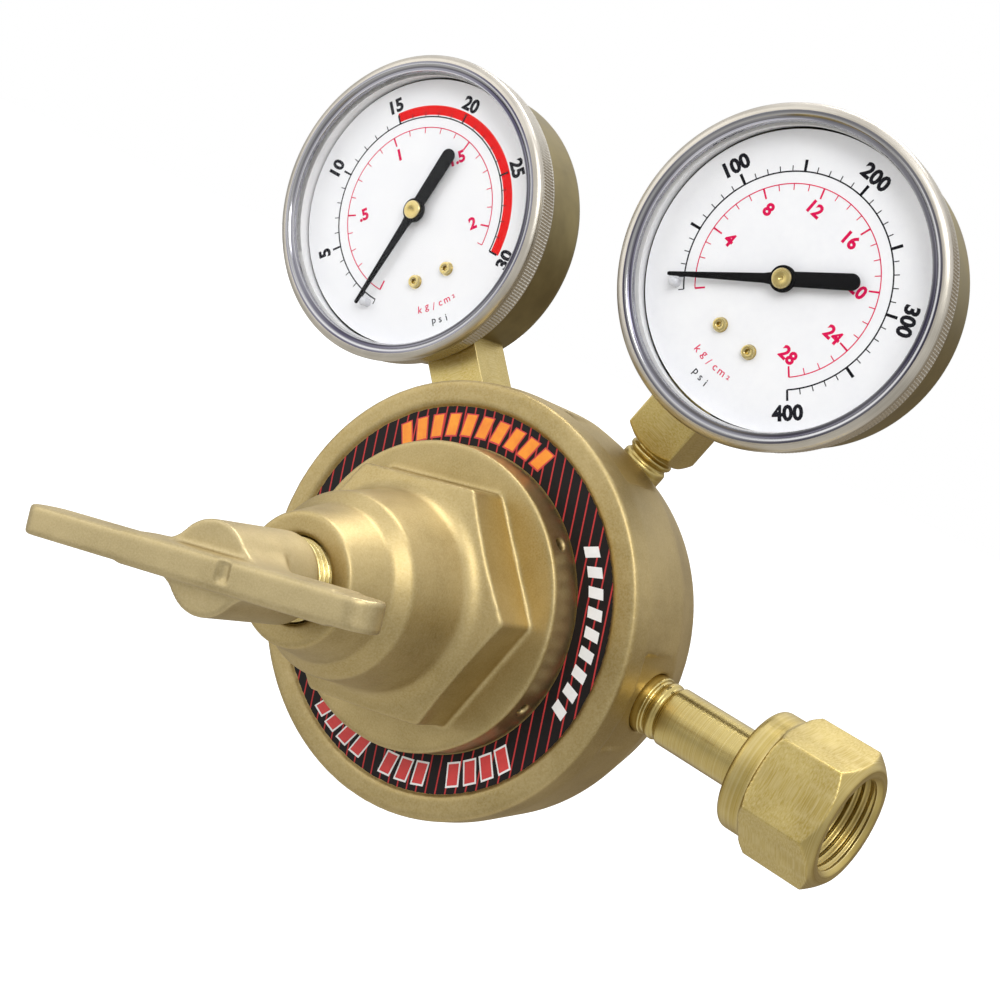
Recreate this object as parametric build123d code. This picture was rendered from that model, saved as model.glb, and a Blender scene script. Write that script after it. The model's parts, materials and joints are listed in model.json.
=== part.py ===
from build123d import *
import os
from math import atan2, cos, degrees, hypot, radians, sin

# Single-stage fuel-gas pressure regulator with two 2.5 inch Bourdon gauges.
# Everything is drawn first in the body frame: Y is the axis of the body and of the
# adjusting screw, the front of the machined rim is at y = 0, the handle side is -Y,
# the inlet points along +X and +Z is up.  place() then moves a finished piece to the
# part's own frame, whose origin is the centre of the inlet thread's outer end.

# ---------------------------------------------------------------- driving sizes, mm
REACH = 90.3              # body axis to the mouth of the inlet nut
THREAD_START = 1.0        # the inlet thread starts this far inside the nut's mouth
THREAD_LENGTH = 9.0
INLET_Y = 20.2            # inlet axis behind the front rim

BODY_R = 45.0
BODY_SIDE_R, BODY_SIDE_Y = 43.9, 22.0
BODY_BACK_R = 39.5
BODY_DEPTH = 38.0
RIM_INNER_R = 39.7
RECESS_Y = 1.0            # floor that carries the label and the bonnet flange
PAD_RADIUS = 42.7         # flats that the side ports are drilled into
PAD_WIDTH = 21.0

CHAMBER_R = 22.0          # low-pressure chamber
CHAMBER_FLOOR_Y = 14.4
LEDGE_Y = 12.6            # seat of the diaphragm
BONNET_BORE_R = 27.55
POCKET_R = 7.0            # high-pressure pocket behind the valve nozzle
POCKET_END_Y = 33.0
NOZZLE_R = 7.9
NOZZLE_BACK_Y = 17.4
SEAT_Y, SEAT_THICK = 18.25, 1.4
POPPET_Y = 22.0           # shoulder of the valve stem that its spring pushes on

FLANGE_R = 31.3
FLANGE_Y = -7.7
HEX_FLATS = 46.4
HEX_CORNER_R = 26.6
HEX_TOP_Y = -18.0
VALLEY_R, VALLEY_Y = 19.9, -19.9
SHOULDER_R, SHOULDER_Y = 17.8, -36.1
NECK_R, NECK_Y = 12.6, -48.8
BONNET_TURN = 13.4        # angle of a hexagon corner, degrees above +X
VENT_ANGLES = (46.3, -17.3, 166.0)
VENT_R = 1.3
VENT_Y = -3.0
CAVITY_R = 15.5
CAVITY_TOP_Y = -34.0

SCREW_R = 7.92            # 5/8-18 adjusting screw
SCREW_PITCH = 25.4 / 18
SCREW_BORE_R = 7.98
SCREW_SHANK_R = 6.5
SCREW_END_Y = -61.0       # front end of the shank, inside the handle's hub
HUB_R = 8.6
HUB_BACK_Y = -52.2
HUB_FRONT_Y = -74.0
WEB_R = 16.0              # webs that spread from the hub into the bar
WEB_FILLET = 7.0
BAR_FRONT_Y, BAR_BACK_Y = -79.6, -70.4
BAR_LEFT, BAR_RIGHT = -41.0, 38.2
BAR_THICK = 6.2
BAR_ROUNDING = 4.4
BAR_TURN = 14.2
GRIP_LEFT, GRIP_RIGHT = -16.0, 31.0   # where the thinner grips begin
GRIP_STEP = 0.35

SPRING_WIRE = 3.2
SPRING_R = 11.4
BUTTON_Y = -28.0          # front face of the spring button with the handle as stored
BUTTON_THICK = 3.6
PLATE_R = 19.0
PLATE_Y = 9.4
DIAPHRAGM_THICK = 1.2

GAUGE_REACH = 91.4        # body axis to dial centre
GAUGE_Y = 30.8            # gauge stem axis behind the front rim
GAUGES = {"delivery": (132.8, 0.0), "cylinder": (72.7, 3.9)}   # direction, twist of the dial
STEM_BLOCK = 12.6
BLOCK_BOTTOM = -45.1      # along the stem, from the dial centre
BLOCK_TOP = -21.0
STEM_THREAD_R = 5.1
STEM_END = -57.0

CASE_R = 32.4
CASE_WALL = 1.2
CASE_BACK = 10.6
CASE_FRONT = -10.5
CASE_SCREW_X, CASE_SCREW_Z, CASE_SCREW_R = 3.6, -25.5, 1.3
BEZEL_R = 34.9
BEZEL_BACK = -6.5
BEZEL_LIP_R = 31.0
LENS_BACK, LENS_FRONT = -11.2, -12.4
DIAL_R = 30.6
DIAL_FRONT, DIAL_BACK = -8.1, -7.5
SCREW_SPREAD, SCREW_DROP = 4.25, -15.5
POINTER_FRONT, POINTER_BACK = -10.1, -9.7
POINTER_TIP, POINTER_TAIL = 25.0, 14.3
POINTER_REST = 127.5      # degrees anticlockwise of straight up
POINTER_SWEEP = 262.0
STOP_PIN_ANGLE, STOP_PIN_REACH, STOP_PIN_R = 131.4, 23.6, 0.9
ARBOR_R = 0.8
PINION_TEETH, SECTOR_TEETH = 10, 120
GEAR_MODULE = 0.2
SECTOR_PIVOT = -GEAR_MODULE * (PINION_TEETH + SECTOR_TEETH) / 2
SECTOR_TAIL, SECTOR_TAIL_ANGLE = 5.0, -75.0
TUBE_R = 24.0
TUBE_START, TUBE_END = -100.0, -385.0
FRONT_PLATE = (-5.4, -4.2)
REAR_PLATE = (1.4, 2.6)

NIPPLE_R = 6.24
NOSE_R = 8.9              # flange of the nipple that the nut pulls on
FILTER_R = 3.2
NUT_FLATS = 26.0
NUT_BACK, NUT_HEX_BACK = 68.2, 73.8
NUT_COLLAR_R = 12.7
NUT_MOUTH_R = 12.0
NUT_BORE_R = 9.6          # minor radius of the 0.825-14 thread
NUT_RELIEF_R = 10.5       # undercut behind the thread
NUT_SHOULDER = 74.6
NUT_TURN = -17.5

OUTLET_REACH, OUTLET_ANGLE = 17.5, 225.0
OUTLET_THREAD_R = 7.0     # 9/16-18 hose connection

FIT = 0.06                # radial clearance of running fits
MERGE = 0.01              # overlap that joins two primitives of one solid


# ---------------------------------------------------------------- helpers
def place(shape):
    return Pos(THREAD_START - REACH, -INLET_Y, 0) * shape


def turned(*outline):
    """Solid turned about Y from corners (radius, y) or (radius, y, rounding)."""
    face = make_face(Polyline(*[corner[:2] for corner in outline], close=True))
    for corner in outline:
        if len(corner) == 3:
            vertex = face.vertices().sort_by_distance(Vector(corner[0], corner[1], 0))[0]
            face = fillet(vertex, corner[2])
    return revolve(face, Axis.Y)


def rod(radius, start, end):
    """Cylinder along Y from start to end."""
    return Pos(0, (start + end) / 2, 0) * Rot(90, 0, 0) * Cylinder(radius, abs(end - start))


def ring(outer, inner, start, end):
    return rod(outer, start, end) - rod(inner, start - 1, end + 1)


def block(low, high):
    """Box between two opposite corners."""
    size = [abs(b - a) for a, b in zip(low, high)]
    middle = [(a + b) / 2 for a, b in zip(low, high)]
    return Pos(*middle) * Box(*size)


def slab(face, start, end):
    """Flat face, its own Y taken as Z, given thickness between two y values."""
    return Pos(0, end, 0) * Rot(90, 0, 0) * extrude(face, end - start)


def hexagon(flats, start, end, turn=0.0):
    """Hexagonal prism along Y with a corner at angle turn."""
    face = RegularPolygon(radius=flats / 2, side_count=6, major_radius=False, rotation=turn)
    return slab(face, start, end)


def radial(shape, angle, y):
    """Turn a shape drawn along Y so that +Y points out of the body at an angle."""
    return Pos(0, y, 0) * Rot(0, -angle, 0) * Rot(0, 0, -90) * shape


def plate(outline, start, end):
    """Flat piece from an XZ outline, between two y values."""
    return slab(make_face(Polyline(*outline, close=True)), start, end)


def wire_coil(radius, wire, start, height, turns):
    """Helix of round wire along Y whose centreline starts at start."""
    path = Helix(pitch=height / turns, height=height, radius=radius)
    section = Plane(origin=path @ 0, z_dir=path % 0) * Circle(wire / 2)
    return Pos(0, start, 0) * Rot(-90, 0, 0) * sweep(section, path=path, is_frenet=True)


def ground_coil(radius, wire, start, end, turns):
    """Coil spring that fills start to end, with its ends ground flat."""
    pitch = (end - start) / turns
    spring = wire_coil(radius, wire, start - pitch / 2, (turns + 1) * pitch, turns + 1)
    return spring & rod(radius + wire, start, end)


def polar(reach, angle):
    return (reach * cos(radians(angle)), reach * sin(radians(angle)))


# ---------------------------------------------------------------- body and label
def make_body():
    body = turned(
        (0, BODY_DEPTH), (0, POCKET_END_Y), (POCKET_R, POCKET_END_Y, 1.0),
        (POCKET_R, NOZZLE_BACK_Y), (NOZZLE_R, NOZZLE_BACK_Y), (NOZZLE_R, CHAMBER_FLOOR_Y),
        (CHAMBER_R, CHAMBER_FLOOR_Y, 0.6), (CHAMBER_R, LEDGE_Y), (BONNET_BORE_R, LEDGE_Y),
        (BONNET_BORE_R, RECESS_Y), (RIM_INNER_R, RECESS_Y), (RIM_INNER_R, 0, 0.3),
        (BODY_R - 0.3, 0, 0.8), (BODY_R, 6.0, 8.0), (BODY_SIDE_R, BODY_SIDE_Y, 9.0),
        (BODY_BACK_R, 36.0, 1.6), (BODY_BACK_R - 2.0, BODY_DEPTH, 0.8))
    pad_cut = block((PAD_RADIUS, 7.0, -PAD_WIDTH / 2), (BODY_R + 2, BODY_DEPTH + 1, PAD_WIDTH / 2))
    for angle in (0.0, *[direction for direction, twist in GAUGES.values()]):
        body -= Rot(0, -angle, 0) * pad_cut
    body -= radial(rod(NIPPLE_R + 0.02, 30, 50), 0.0, INLET_Y)
    body -= radial(rod(2.6, 5, 31), 0.0, INLET_Y)
    for name, (angle, twist) in GAUGES.items():
        body -= radial(rod(STEM_THREAD_R + 0.05, 33, 50), angle, GAUGE_Y)
        inner_end = 5 if name == "cylinder" else 17
        body -= radial(rod(1.8, inner_end, 34), angle, GAUGE_Y)
    delivery_x, delivery_z = polar(18.0, GAUGES["delivery"][0])
    body -= Pos(delivery_x, 0, delivery_z) * rod(1.6, 13, GAUGE_Y + 1.2)
    outlet_x, outlet_z = polar(OUTLET_REACH, OUTLET_ANGLE)
    body -= Pos(outlet_x, 0, outlet_z) * rod(3.0, 13, 29)
    body -= Pos(outlet_x, 0, outlet_z) * rod(6.6, 28, BODY_DEPTH + 1)
    return body


def make_label_ring():
    return ring(RIM_INNER_R - 0.2, FLANGE_R + 0.2, RECESS_Y - 0.3, RECESS_Y)


# ---------------------------------------------------------------- bonnet
def make_bonnet():
    shell = turned(
        (BONNET_BORE_R - 0.05, 9.9), (BONNET_BORE_R - 0.05, RECESS_Y), (FLANGE_R, RECESS_Y),
        (FLANGE_R, FLANGE_Y, 0.5), (HEX_CORNER_R, FLANGE_Y), (HEX_CORNER_R, HEX_TOP_Y, 0.8),
        (VALLEY_R, VALLEY_Y, 4.0), (SHOULDER_R, SHOULDER_Y, 1.2), (NECK_R + 2.4, -38.6, 1.6),
        (NECK_R, NECK_Y, 0.7), (SCREW_BORE_R + 0.5, NECK_Y), (SCREW_BORE_R, NECK_Y + 0.5),
        (SCREW_BORE_R, CAVITY_TOP_Y), (CAVITY_R, CAVITY_TOP_Y, 1.5), (CAVITY_R, -12.0), (21.4, -5.0),
        (21.4, 9.9))
    flats = hexagon(HEX_FLATS, -60, FLANGE_Y, BONNET_TURN)
    flange_side = rod(FLANGE_R + 5, FLANGE_Y, 12)
    bonnet = shell & (flats + flange_side)
    for angle in VENT_ANGLES:
        bonnet -= radial(rod(VENT_R, 18, 40), angle, VENT_Y)
    return bonnet


def make_slip_ring():
    return turned((21.0, 9.9), (27.3, 9.9), (27.3, LEDGE_Y - DIAPHRAGM_THICK),
                  (21.0, LEDGE_Y - DIAPHRAGM_THICK, 0.5))


# ---------------------------------------------------------------- handle and screw
def make_t_handle():
    half = BAR_THICK / 2
    outline = Circle(HUB_R) + Rectangle(3 * WEB_R, BAR_THICK)
    inner_corners = outline.vertices().filter_by(lambda vertex: abs(vertex.X) < HUB_R)
    outline = fillet(inner_corners, WEB_FILLET)
    web = slab(outline, HUB_FRONT_Y, BAR_BACK_Y + 9) & turned(
        (0, HUB_FRONT_Y), (WEB_R, HUB_FRONT_Y), (WEB_R, BAR_BACK_Y), (HUB_R, BAR_BACK_Y + 8.4),
        (0, BAR_BACK_Y + 8.4))
    hub = turned((0, HUB_FRONT_Y), (HUB_R, HUB_FRONT_Y), (HUB_R, HUB_BACK_Y, 0.8), (0, HUB_BACK_Y))
    bar = block((BAR_LEFT, BAR_FRONT_Y, -half), (BAR_RIGHT, BAR_BACK_Y, half))
    bar = fillet(bar.edges().filter_by(Axis.Z), BAR_ROUNDING)
    bar = fillet(bar.edges().filter_by(lambda edge: abs(edge.center().Z) > half - 0.1), 1.1)
    # The cast grips are a little thinner than the middle of the bar.
    for start, end in ((GRIP_LEFT, BAR_LEFT - 1), (GRIP_RIGHT, BAR_RIGHT + 1)):
        for side in (-1, 1):
            bar -= block((start, BAR_FRONT_Y - 1, side * (half - GRIP_STEP)),
                         (end, BAR_BACK_Y + 1, side * (half + 1)))
    handle = Rot(0, -BAR_TURN, 0) * (hub + web + bar)
    return handle - rod(SCREW_SHANK_R, SCREW_END_Y, HUB_BACK_Y + 1)


def make_adjusting_screw():
    crests = []
    y = HUB_BACK_Y
    while y < -33.5:
        crests += [(SCREW_R, y), (SCREW_R, y + SCREW_PITCH * 0.35),
                   (SCREW_R - 0.75, y + SCREW_PITCH * 0.6), (SCREW_R - 0.75, y + SCREW_PITCH * 0.75)]
        y += SCREW_PITCH
    return turned(
        (0, SCREW_END_Y), (SCREW_SHANK_R, SCREW_END_Y), (SCREW_SHANK_R, HUB_BACK_Y),
        *crests, (SCREW_R - 1.6, -33.0), (5.0, -31.5), (5.0, BUTTON_Y + 0.6, 1.2),
        (2.4, BUTTON_Y + 1.95, 1.0), (0, BUTTON_Y + 1.95))


def make_spring_button():
    return turned(
        (0, BUTTON_Y + 2.0), (2.4, BUTTON_Y + 2.0), (5.4, BUTTON_Y + 0.4), (5.8, BUTTON_Y),
        (13.6, BUTTON_Y, 0.6), (13.6, BUTTON_Y + BUTTON_THICK, 0.4), (9.0, BUTTON_Y + BUTTON_THICK),
        (8.2, BUTTON_Y + 8.0, 1.0), (0, BUTTON_Y + 8.0))


def make_adjusting_spring():
    return ground_coil(SPRING_R, SPRING_WIRE, BUTTON_Y + BUTTON_THICK, PLATE_Y, 6)


# ---------------------------------------------------------------- diaphragm and valve
def make_diaphragm_plate():
    back = LEDGE_Y - DIAPHRAGM_THICK
    return turned((0, back), (PLATE_R, back, 0.8), (PLATE_R, PLATE_Y, 0.5), (8.8, PLATE_Y),
                  (8.0, 5.0, 0.8), (4.0, 5.0), (4.0, 8.0), (0, 8.0))


def make_diaphragm():
    return rod(27.3, LEDGE_Y - DIAPHRAGM_THICK, LEDGE_Y)


def make_valve_nozzle():
    nozzle = turned(
        (1.7, CHAMBER_FLOOR_Y - 1.0), (5.6, CHAMBER_FLOOR_Y - 1.0, 0.3), (5.6, CHAMBER_FLOOR_Y),
        (NOZZLE_R - 0.03, CHAMBER_FLOOR_Y), (NOZZLE_R - 0.03, NOZZLE_BACK_Y), (3.6, NOZZLE_BACK_Y),
        (2.5, NOZZLE_BACK_Y + 0.8), (1.7, NOZZLE_BACK_Y + 0.8))
    for x in (-4.2, 4.2):
        nozzle -= Pos(x, 0, 0) * rod(0.7, CHAMBER_FLOOR_Y - 2, NOZZLE_BACK_Y - 1)
    return nozzle


def make_valve_stem():
    return turned(
        (0, LEDGE_Y + 0.05), (0.9, LEDGE_Y + 0.05, 0.3), (0.9, SEAT_Y + SEAT_THICK),
        (3.3, SEAT_Y + SEAT_THICK), (3.3, SEAT_Y), (4.3, SEAT_Y), (4.3, POPPET_Y, 0.4),
        (2.9, POPPET_Y), (2.9, POPPET_Y + 2.5, 0.5), (0, POPPET_Y + 2.5))


def make_valve_seat():
    return ring(3.3, 0.9, SEAT_Y, SEAT_Y + SEAT_THICK)


def make_valve_spring():
    wire = 0.8
    return wire_coil(3.7, wire, POPPET_Y + wire, POCKET_END_Y - POPPET_Y - 2 * wire, 7)


# ---------------------------------------------------------------- inlet and outlet
def make_inlet_nipple():
    nipple = turned(
        (2.6, 31.5), (NIPPLE_R - 0.7, 31.5), (NIPPLE_R, 32.4), (NIPPLE_R, 44.4), (5.5, 44.4),
        (5.5, 45.2), (NIPPLE_R - 0.1, 45.6), (NIPPLE_R - 0.1, 46.7), (5.6, 47.0), (5.6, 47.8),
        (NIPPLE_R, 48.3), (NIPPLE_R, NUT_SHOULDER - 0.4), (NOSE_R, NUT_SHOULDER + 0.3, 0.3),
        (NOSE_R, NUT_SHOULDER + 1.6, 0.4), (3.8, NUT_SHOULDER + 4.4, 1.2),
        (2.0, NUT_SHOULDER + 4.4), (2.0, 72.0), (FILTER_R, 72.0), (FILTER_R, 46.0), (2.6, 46.0))
    return radial(nipple, 0.0, INLET_Y)


def make_inlet_filter():
    return radial(turned((0, 50.0), (FILTER_R, 50.0), (FILTER_R, 72.0), (1.8, 72.0), (1.8, 53.0),
                         (0, 53.0)), 0.0, INLET_Y)


def make_inlet_nut():
    outside = turned(
        (0, NUT_BACK), (NUT_COLLAR_R, NUT_BACK, 1.2), (NUT_COLLAR_R, NUT_HEX_BACK),
        (13.6, NUT_HEX_BACK), (15.2, NUT_HEX_BACK + 1.2), (15.2, REACH - 2.6), (NUT_MOUTH_R, REACH),
        (0, REACH))
    body = outside & (hexagon(NUT_FLATS, NUT_HEX_BACK, REACH + 1, NUT_TURN)
                      + rod(NUT_COLLAR_R, NUT_BACK - 1, NUT_HEX_BACK + MERGE))
    thread_end = REACH - THREAD_START - THREAD_LENGTH
    bore = turned(
        (0, NUT_BACK - 1), (NIPPLE_R + FIT, NUT_BACK - 1), (NIPPLE_R + FIT, NUT_SHOULDER - 0.7),
        (9.1, NUT_SHOULDER), (NUT_RELIEF_R, NUT_SHOULDER), (NUT_RELIEF_R, thread_end - 0.6),
        (NUT_BORE_R, thread_end), (NUT_BORE_R, REACH - THREAD_START),
        (NUT_BORE_R + 1.1, REACH + 0.1), (NUT_BORE_R + 1.1, REACH + 1), (0, REACH + 1))
    return radial(body - bore, 0.0, INLET_Y)


def make_outlet_fitting():
    start, hex_end, tip = BODY_DEPTH, BODY_DEPTH + 8.0, BODY_DEPTH + 24.0
    outside = turned(
        (0, 29.0), (5.8, 29.0), (6.55, 30.0), (6.55, start), (10.2, start, 0.6),
        (10.2, hex_end, 0.8), (6.3, hex_end), (6.3, hex_end + 1.6), (OUTLET_THREAD_R, hex_end + 2.0),
        (OUTLET_THREAD_R, tip - 0.8), (OUTLET_THREAD_R - 0.8, tip), (0, tip))
    fitting = outside & (hexagon(17.5, start, hex_end, 10) + rod(6.6, 20, start + MERGE)
                         + rod(OUTLET_THREAD_R + 1, hex_end - MERGE, tip + 1))
    fitting -= turned((0, 20), (3.0, 20), (3.0, tip - 2.8), (5.6, tip + 0.1), (0, tip + 0.1))
    x, z = polar(OUTLET_REACH, OUTLET_ANGLE)
    return Pos(x, 0, z) * fitting


# ---------------------------------------------------------------- one gauge
# Gauge frame: dial centre at the origin, +X to three o'clock, +Z to twelve o'clock,
# the dial faces -Y and the stem runs down -Z.
def gauge_socket():
    half = STEM_BLOCK / 2
    body = block((-half, -half, BLOCK_BOTTOM), (half, half, BLOCK_TOP))
    corner_cone = Rot(90, 0, 0) * turned(
        (0, BLOCK_BOTTOM), (half - 0.2, BLOCK_BOTTOM), (half * 1.5, BLOCK_BOTTOM + 2.0),
        (half * 1.5, BLOCK_TOP), (0, BLOCK_TOP))
    thread = Rot(90, 0, 0) * turned(
        (0, STEM_END), (STEM_THREAD_R - 0.9, STEM_END), (STEM_THREAD_R, STEM_END + 1.5),
        (STEM_THREAD_R, -48.4), (4.4, -48.0), (4.4, -47.4), (STEM_THREAD_R, -47.0),
        (STEM_THREAD_R, -46.2), (4.3, -45.9), (4.3, BLOCK_BOTTOM + 0.5), (0, BLOCK_BOTTOM + 0.5))
    passage = Pos(0, 0, -45) * Cylinder(1.2, 40)
    return (body & corner_cone) + thread - passage - tube_space(0.05)


def tube_space(clearance):
    """Straight-sided arc of the flattened tube, used for the tube and for its socket."""
    outer = ring(TUBE_R + 1.1 + clearance, TUBE_R - 1.1 - clearance, 0.6 - clearance, 5.4 + clearance)
    wedge = [(0, 0)]
    for step in range(0, 20):
        wedge.append(polar(40.0, TUBE_START + (TUBE_END - TUBE_START) * step / 19))
    return outer & plate(wedge, -2, 8)


def gauge_bourdon_tube():
    bore = ring(TUBE_R + 0.7, TUBE_R - 0.7, 1.0, 5.0)
    wedge = [(0, 0)]
    for step in range(0, 20):
        wedge.append(polar(40.0, TUBE_START - 1 + (TUBE_END + 4 - TUBE_START) * step / 19))
    tube = tube_space(0) - (bore & plate(wedge, -2, 8))
    x, z = polar(TUBE_R, TUBE_END - 2)
    cap = Pos(x, 0, z) * Rot(0, -(TUBE_END - 2), 0) * block((-1.6, 0.6, -2.4), (1.6, 5.4, 2.0))
    pin_x, pin_z = polar(TUBE_R, TUBE_END - 2)
    return tube + cap + Pos(pin_x, 0, pin_z) * rod(0.45, -0.6, 1.0)


def gauge_case():
    shell = turned(
        (0, CASE_BACK), (CASE_R, CASE_BACK, 3.2), (CASE_R, CASE_FRONT),
        (CASE_R - CASE_WALL, CASE_FRONT), (CASE_R - CASE_WALL, CASE_BACK - CASE_WALL, 2.0),
        (0, CASE_BACK - CASE_WALL))
    half = STEM_BLOCK / 2 + 0.05
    shell -= block((-half, -half, -40), (half, half, -28))
    for x in (-CASE_SCREW_X, CASE_SCREW_X):
        shell -= Pos(x, 0, CASE_SCREW_Z) * rod(CASE_SCREW_R, CASE_BACK - 3, CASE_BACK + 1)
    return shell


def gauge_case_screws():
    screw = turned((0, STEM_BLOCK / 2), (CASE_SCREW_R, STEM_BLOCK / 2), (CASE_SCREW_R, CASE_BACK),
                   (2.6, CASE_BACK), (2.4, CASE_BACK + 1.2, 0.5), (0, CASE_BACK + 1.3))
    screw -= block((-3, CASE_BACK + 0.6, -0.3), (3, CASE_BACK + 2, 0.3))
    return [Pos(x, 0, CASE_SCREW_Z) * screw for x in (-CASE_SCREW_X, CASE_SCREW_X)]


def gauge_bezel():
    return turned(
        (CASE_R + 0.05, BEZEL_BACK), (BEZEL_R - 0.5, BEZEL_BACK, 0.4), (BEZEL_R - 0.5, -12.1),
        (BEZEL_R, -12.5), (BEZEL_R, -13.3, 0.5), (BEZEL_R - 1.6, -13.8, 0.7),
        (BEZEL_LIP_R, LENS_FRONT - 0.5, 0.3), (BEZEL_LIP_R, LENS_FRONT), (CASE_R + 0.05, LENS_FRONT))


def gauge_lens():
    return rod(CASE_R, LENS_FRONT, LENS_BACK)


def gauge_window_gasket():
    return ring(CASE_R, 30.7, LENS_BACK, CASE_FRONT)


def gauge_dial():
    return ring(DIAL_R, 1.5, DIAL_FRONT, DIAL_BACK)


def gauge_dial_screws():
    screw = turned((0, FRONT_PLATE[0]), (1.0, FRONT_PLATE[0]), (1.0, DIAL_BACK), (1.6, DIAL_BACK),
                   (1.6, DIAL_FRONT), (1.3, DIAL_FRONT), (1.3, DIAL_FRONT - 0.9, 0.2),
                   (0.6, DIAL_FRONT - 0.9), (0.6, DIAL_FRONT + 0.2), (0, DIAL_FRONT + 0.2))
    return [Pos(x, 0, SCREW_DROP) * screw for x in (-SCREW_SPREAD, SCREW_SPREAD)]


def cut_for_dial_screws(dial):
    for x in (-SCREW_SPREAD, SCREW_SPREAD):
        dial -= Pos(x, 0, SCREW_DROP) * rod(1.6, DIAL_FRONT - 1, DIAL_BACK + 1)
    return dial


def gauge_stop_pin():
    x, z = polar(STOP_PIN_REACH, 90 + STOP_PIN_ANGLE)
    return Pos(x, 0, z) * turned((0, DIAL_FRONT), (STOP_PIN_R, DIAL_FRONT),
                                 (STOP_PIN_R, POINTER_FRONT - 0.4, 0.4), (0, POINTER_FRONT - 0.4))


def gauge_pointer():
    thick = (POINTER_FRONT, POINTER_BACK)
    blade = plate([(-0.45, POINTER_TIP), (0.45, POINTER_TIP), (1.0, 4.0), (1.5, 0), (1.7, -POINTER_TAIL),
                   (-1.7, -POINTER_TAIL), (-1.5, 0), (-1.0, 4.0)], *thick)
    pointer = blade + Pos(0, 0, -POINTER_TAIL) * rod(1.7, *thick) + rod(2.6, *thick)
    pointer -= rod(ARBOR_R, -20, 0)
    return Rot(0, -POINTER_REST, 0) * pointer


def gauge_pointer_hub():
    return turned((ARBOR_R, POINTER_FRONT), (2.0, POINTER_FRONT), (2.0, POINTER_FRONT - 0.7, 0.2),
                  (ARBOR_R, POINTER_FRONT - 0.7))


def gauge_pinion():
    pitch_r = GEAR_MODULE * PINION_TEETH / 2
    outline = []
    for tooth in range(PINION_TEETH):
        middle = -90 + (tooth + 0.5) * 360 / PINION_TEETH
        outline += [polar(pitch_r - 0.28, middle - 9.0), polar(pitch_r + 0.14, middle - 3.2),
                    polar(pitch_r + 0.14, middle + 3.2), polar(pitch_r - 0.28, middle + 9.0)]
    teeth = plate(outline, -2.2, 0.2)
    arbor = rod(0.7, -1.9, REAR_PLATE[1]) + rod(ARBOR_R, POINTER_FRONT - 0.6, -2.1)
    return teeth + arbor


def gauge_sector_gear():
    pitch_r = GEAR_MODULE * SECTOR_TEETH / 2
    step = 360 / SECTOR_TEETH
    outline = []
    for tooth in range(-2, 11):
        middle = 90 - tooth * step
        outline += [polar(pitch_r - 0.26, middle + 0.62), polar(pitch_r + 0.14, middle + 0.3),
                    polar(pitch_r + 0.14, middle - 0.3), polar(pitch_r - 0.26, middle - 0.62)]
    wing = plate([polar(2.0, 150), *outline, polar(2.0, 0)], -1.4, -0.4)
    tail_x, tail_z = polar(SECTOR_TAIL, SECTOR_TAIL_ANGLE)
    tail = plate([polar(1.6, SECTOR_TAIL_ANGLE - 90), polar(1.6, SECTOR_TAIL_ANGLE + 90),
                  (tail_x + 1.1, tail_z + 0.3), (tail_x - 1.1, tail_z - 0.3)], -1.4, -0.4)
    gear = wing + tail + rod(2.1, -1.4, -0.4) + Pos(tail_x, 0, tail_z) * rod(1.15, -1.4, -0.4)
    gear -= Pos(tail_x, 0, tail_z) * rod(0.5 + FIT, -3, 1)
    gear += rod(0.6, FRONT_PLATE[0], REAR_PLATE[1])
    return Pos(0, 0, SECTOR_PIVOT) * gear


def link_ends():
    tail_x, tail_z = polar(SECTOR_TAIL, SECTOR_TAIL_ANGLE)
    return (tail_x, SECTOR_PIVOT + tail_z), polar(TUBE_R, TUBE_END - 2)


def gauge_link():
    (x0, z0), (x1, z1) = link_ends()
    length = hypot(x1 - x0, z1 - z0)
    bar = plate([(0, -0.7), (length, -0.7), (length, 0.7), (0, 0.7)], -0.3, 0.4)
    link = bar + rod(1.1, -0.3, 0.4) + Pos(length, 0, 0) * rod(1.1, -0.3, 0.4)
    link -= Pos(length, 0, 0) * rod(0.5, -2, 2)
    link += rod(0.5, -1.8, 0.3)
    return Pos(x0, 0, z0) * Rot(0, -degrees(atan2(z1 - z0, x1 - x0)), 0) * link


def gauge_hairspring():
    turns, inner, outer, thick = 4.0, 1.9, 5.4, 0.18
    steps = int(turns * 24)
    line = [polar(inner + (outer - inner) * step / steps, 90 + 360 * turns * step / steps)
            for step in range(steps + 1)]
    edge = [polar(inner + thick + (outer - inner) * step / steps, 90 + 360 * turns * step / steps)
            for step in range(steps, -1, -1)]
    strip = plate(line + edge, -3.6, -3.0)
    return strip + ring(1.95, ARBOR_R + 0.3, -3.6, -3.0)


def gauge_movement_frame():
    outline = [(-8, BLOCK_TOP + 1), (8, BLOCK_TOP + 1), (8, 0), (5, 4.5), (-5, 4.5), (-8, 0)]
    frame = plate(outline, *FRONT_PLATE) + plate(outline, *REAR_PLATE)
    for x in (-6.6, 6.6):
        frame += Pos(x, 0, 0.5) * rod(1.1, FRONT_PLATE[1] - MERGE, REAR_PLATE[0] + MERGE)
    frame += block((-8, FRONT_PLATE[0], BLOCK_TOP), (-3, REAR_PLATE[1], BLOCK_TOP + 1.5))
    frame -= rod(ARBOR_R + 0.05, -10, -3)
    frame -= rod(0.7 + 0.05, 0, 10)
    frame -= Pos(0, 0, SECTOR_PIVOT) * rod(0.6 + 0.05, -10, 10)
    return frame


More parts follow.
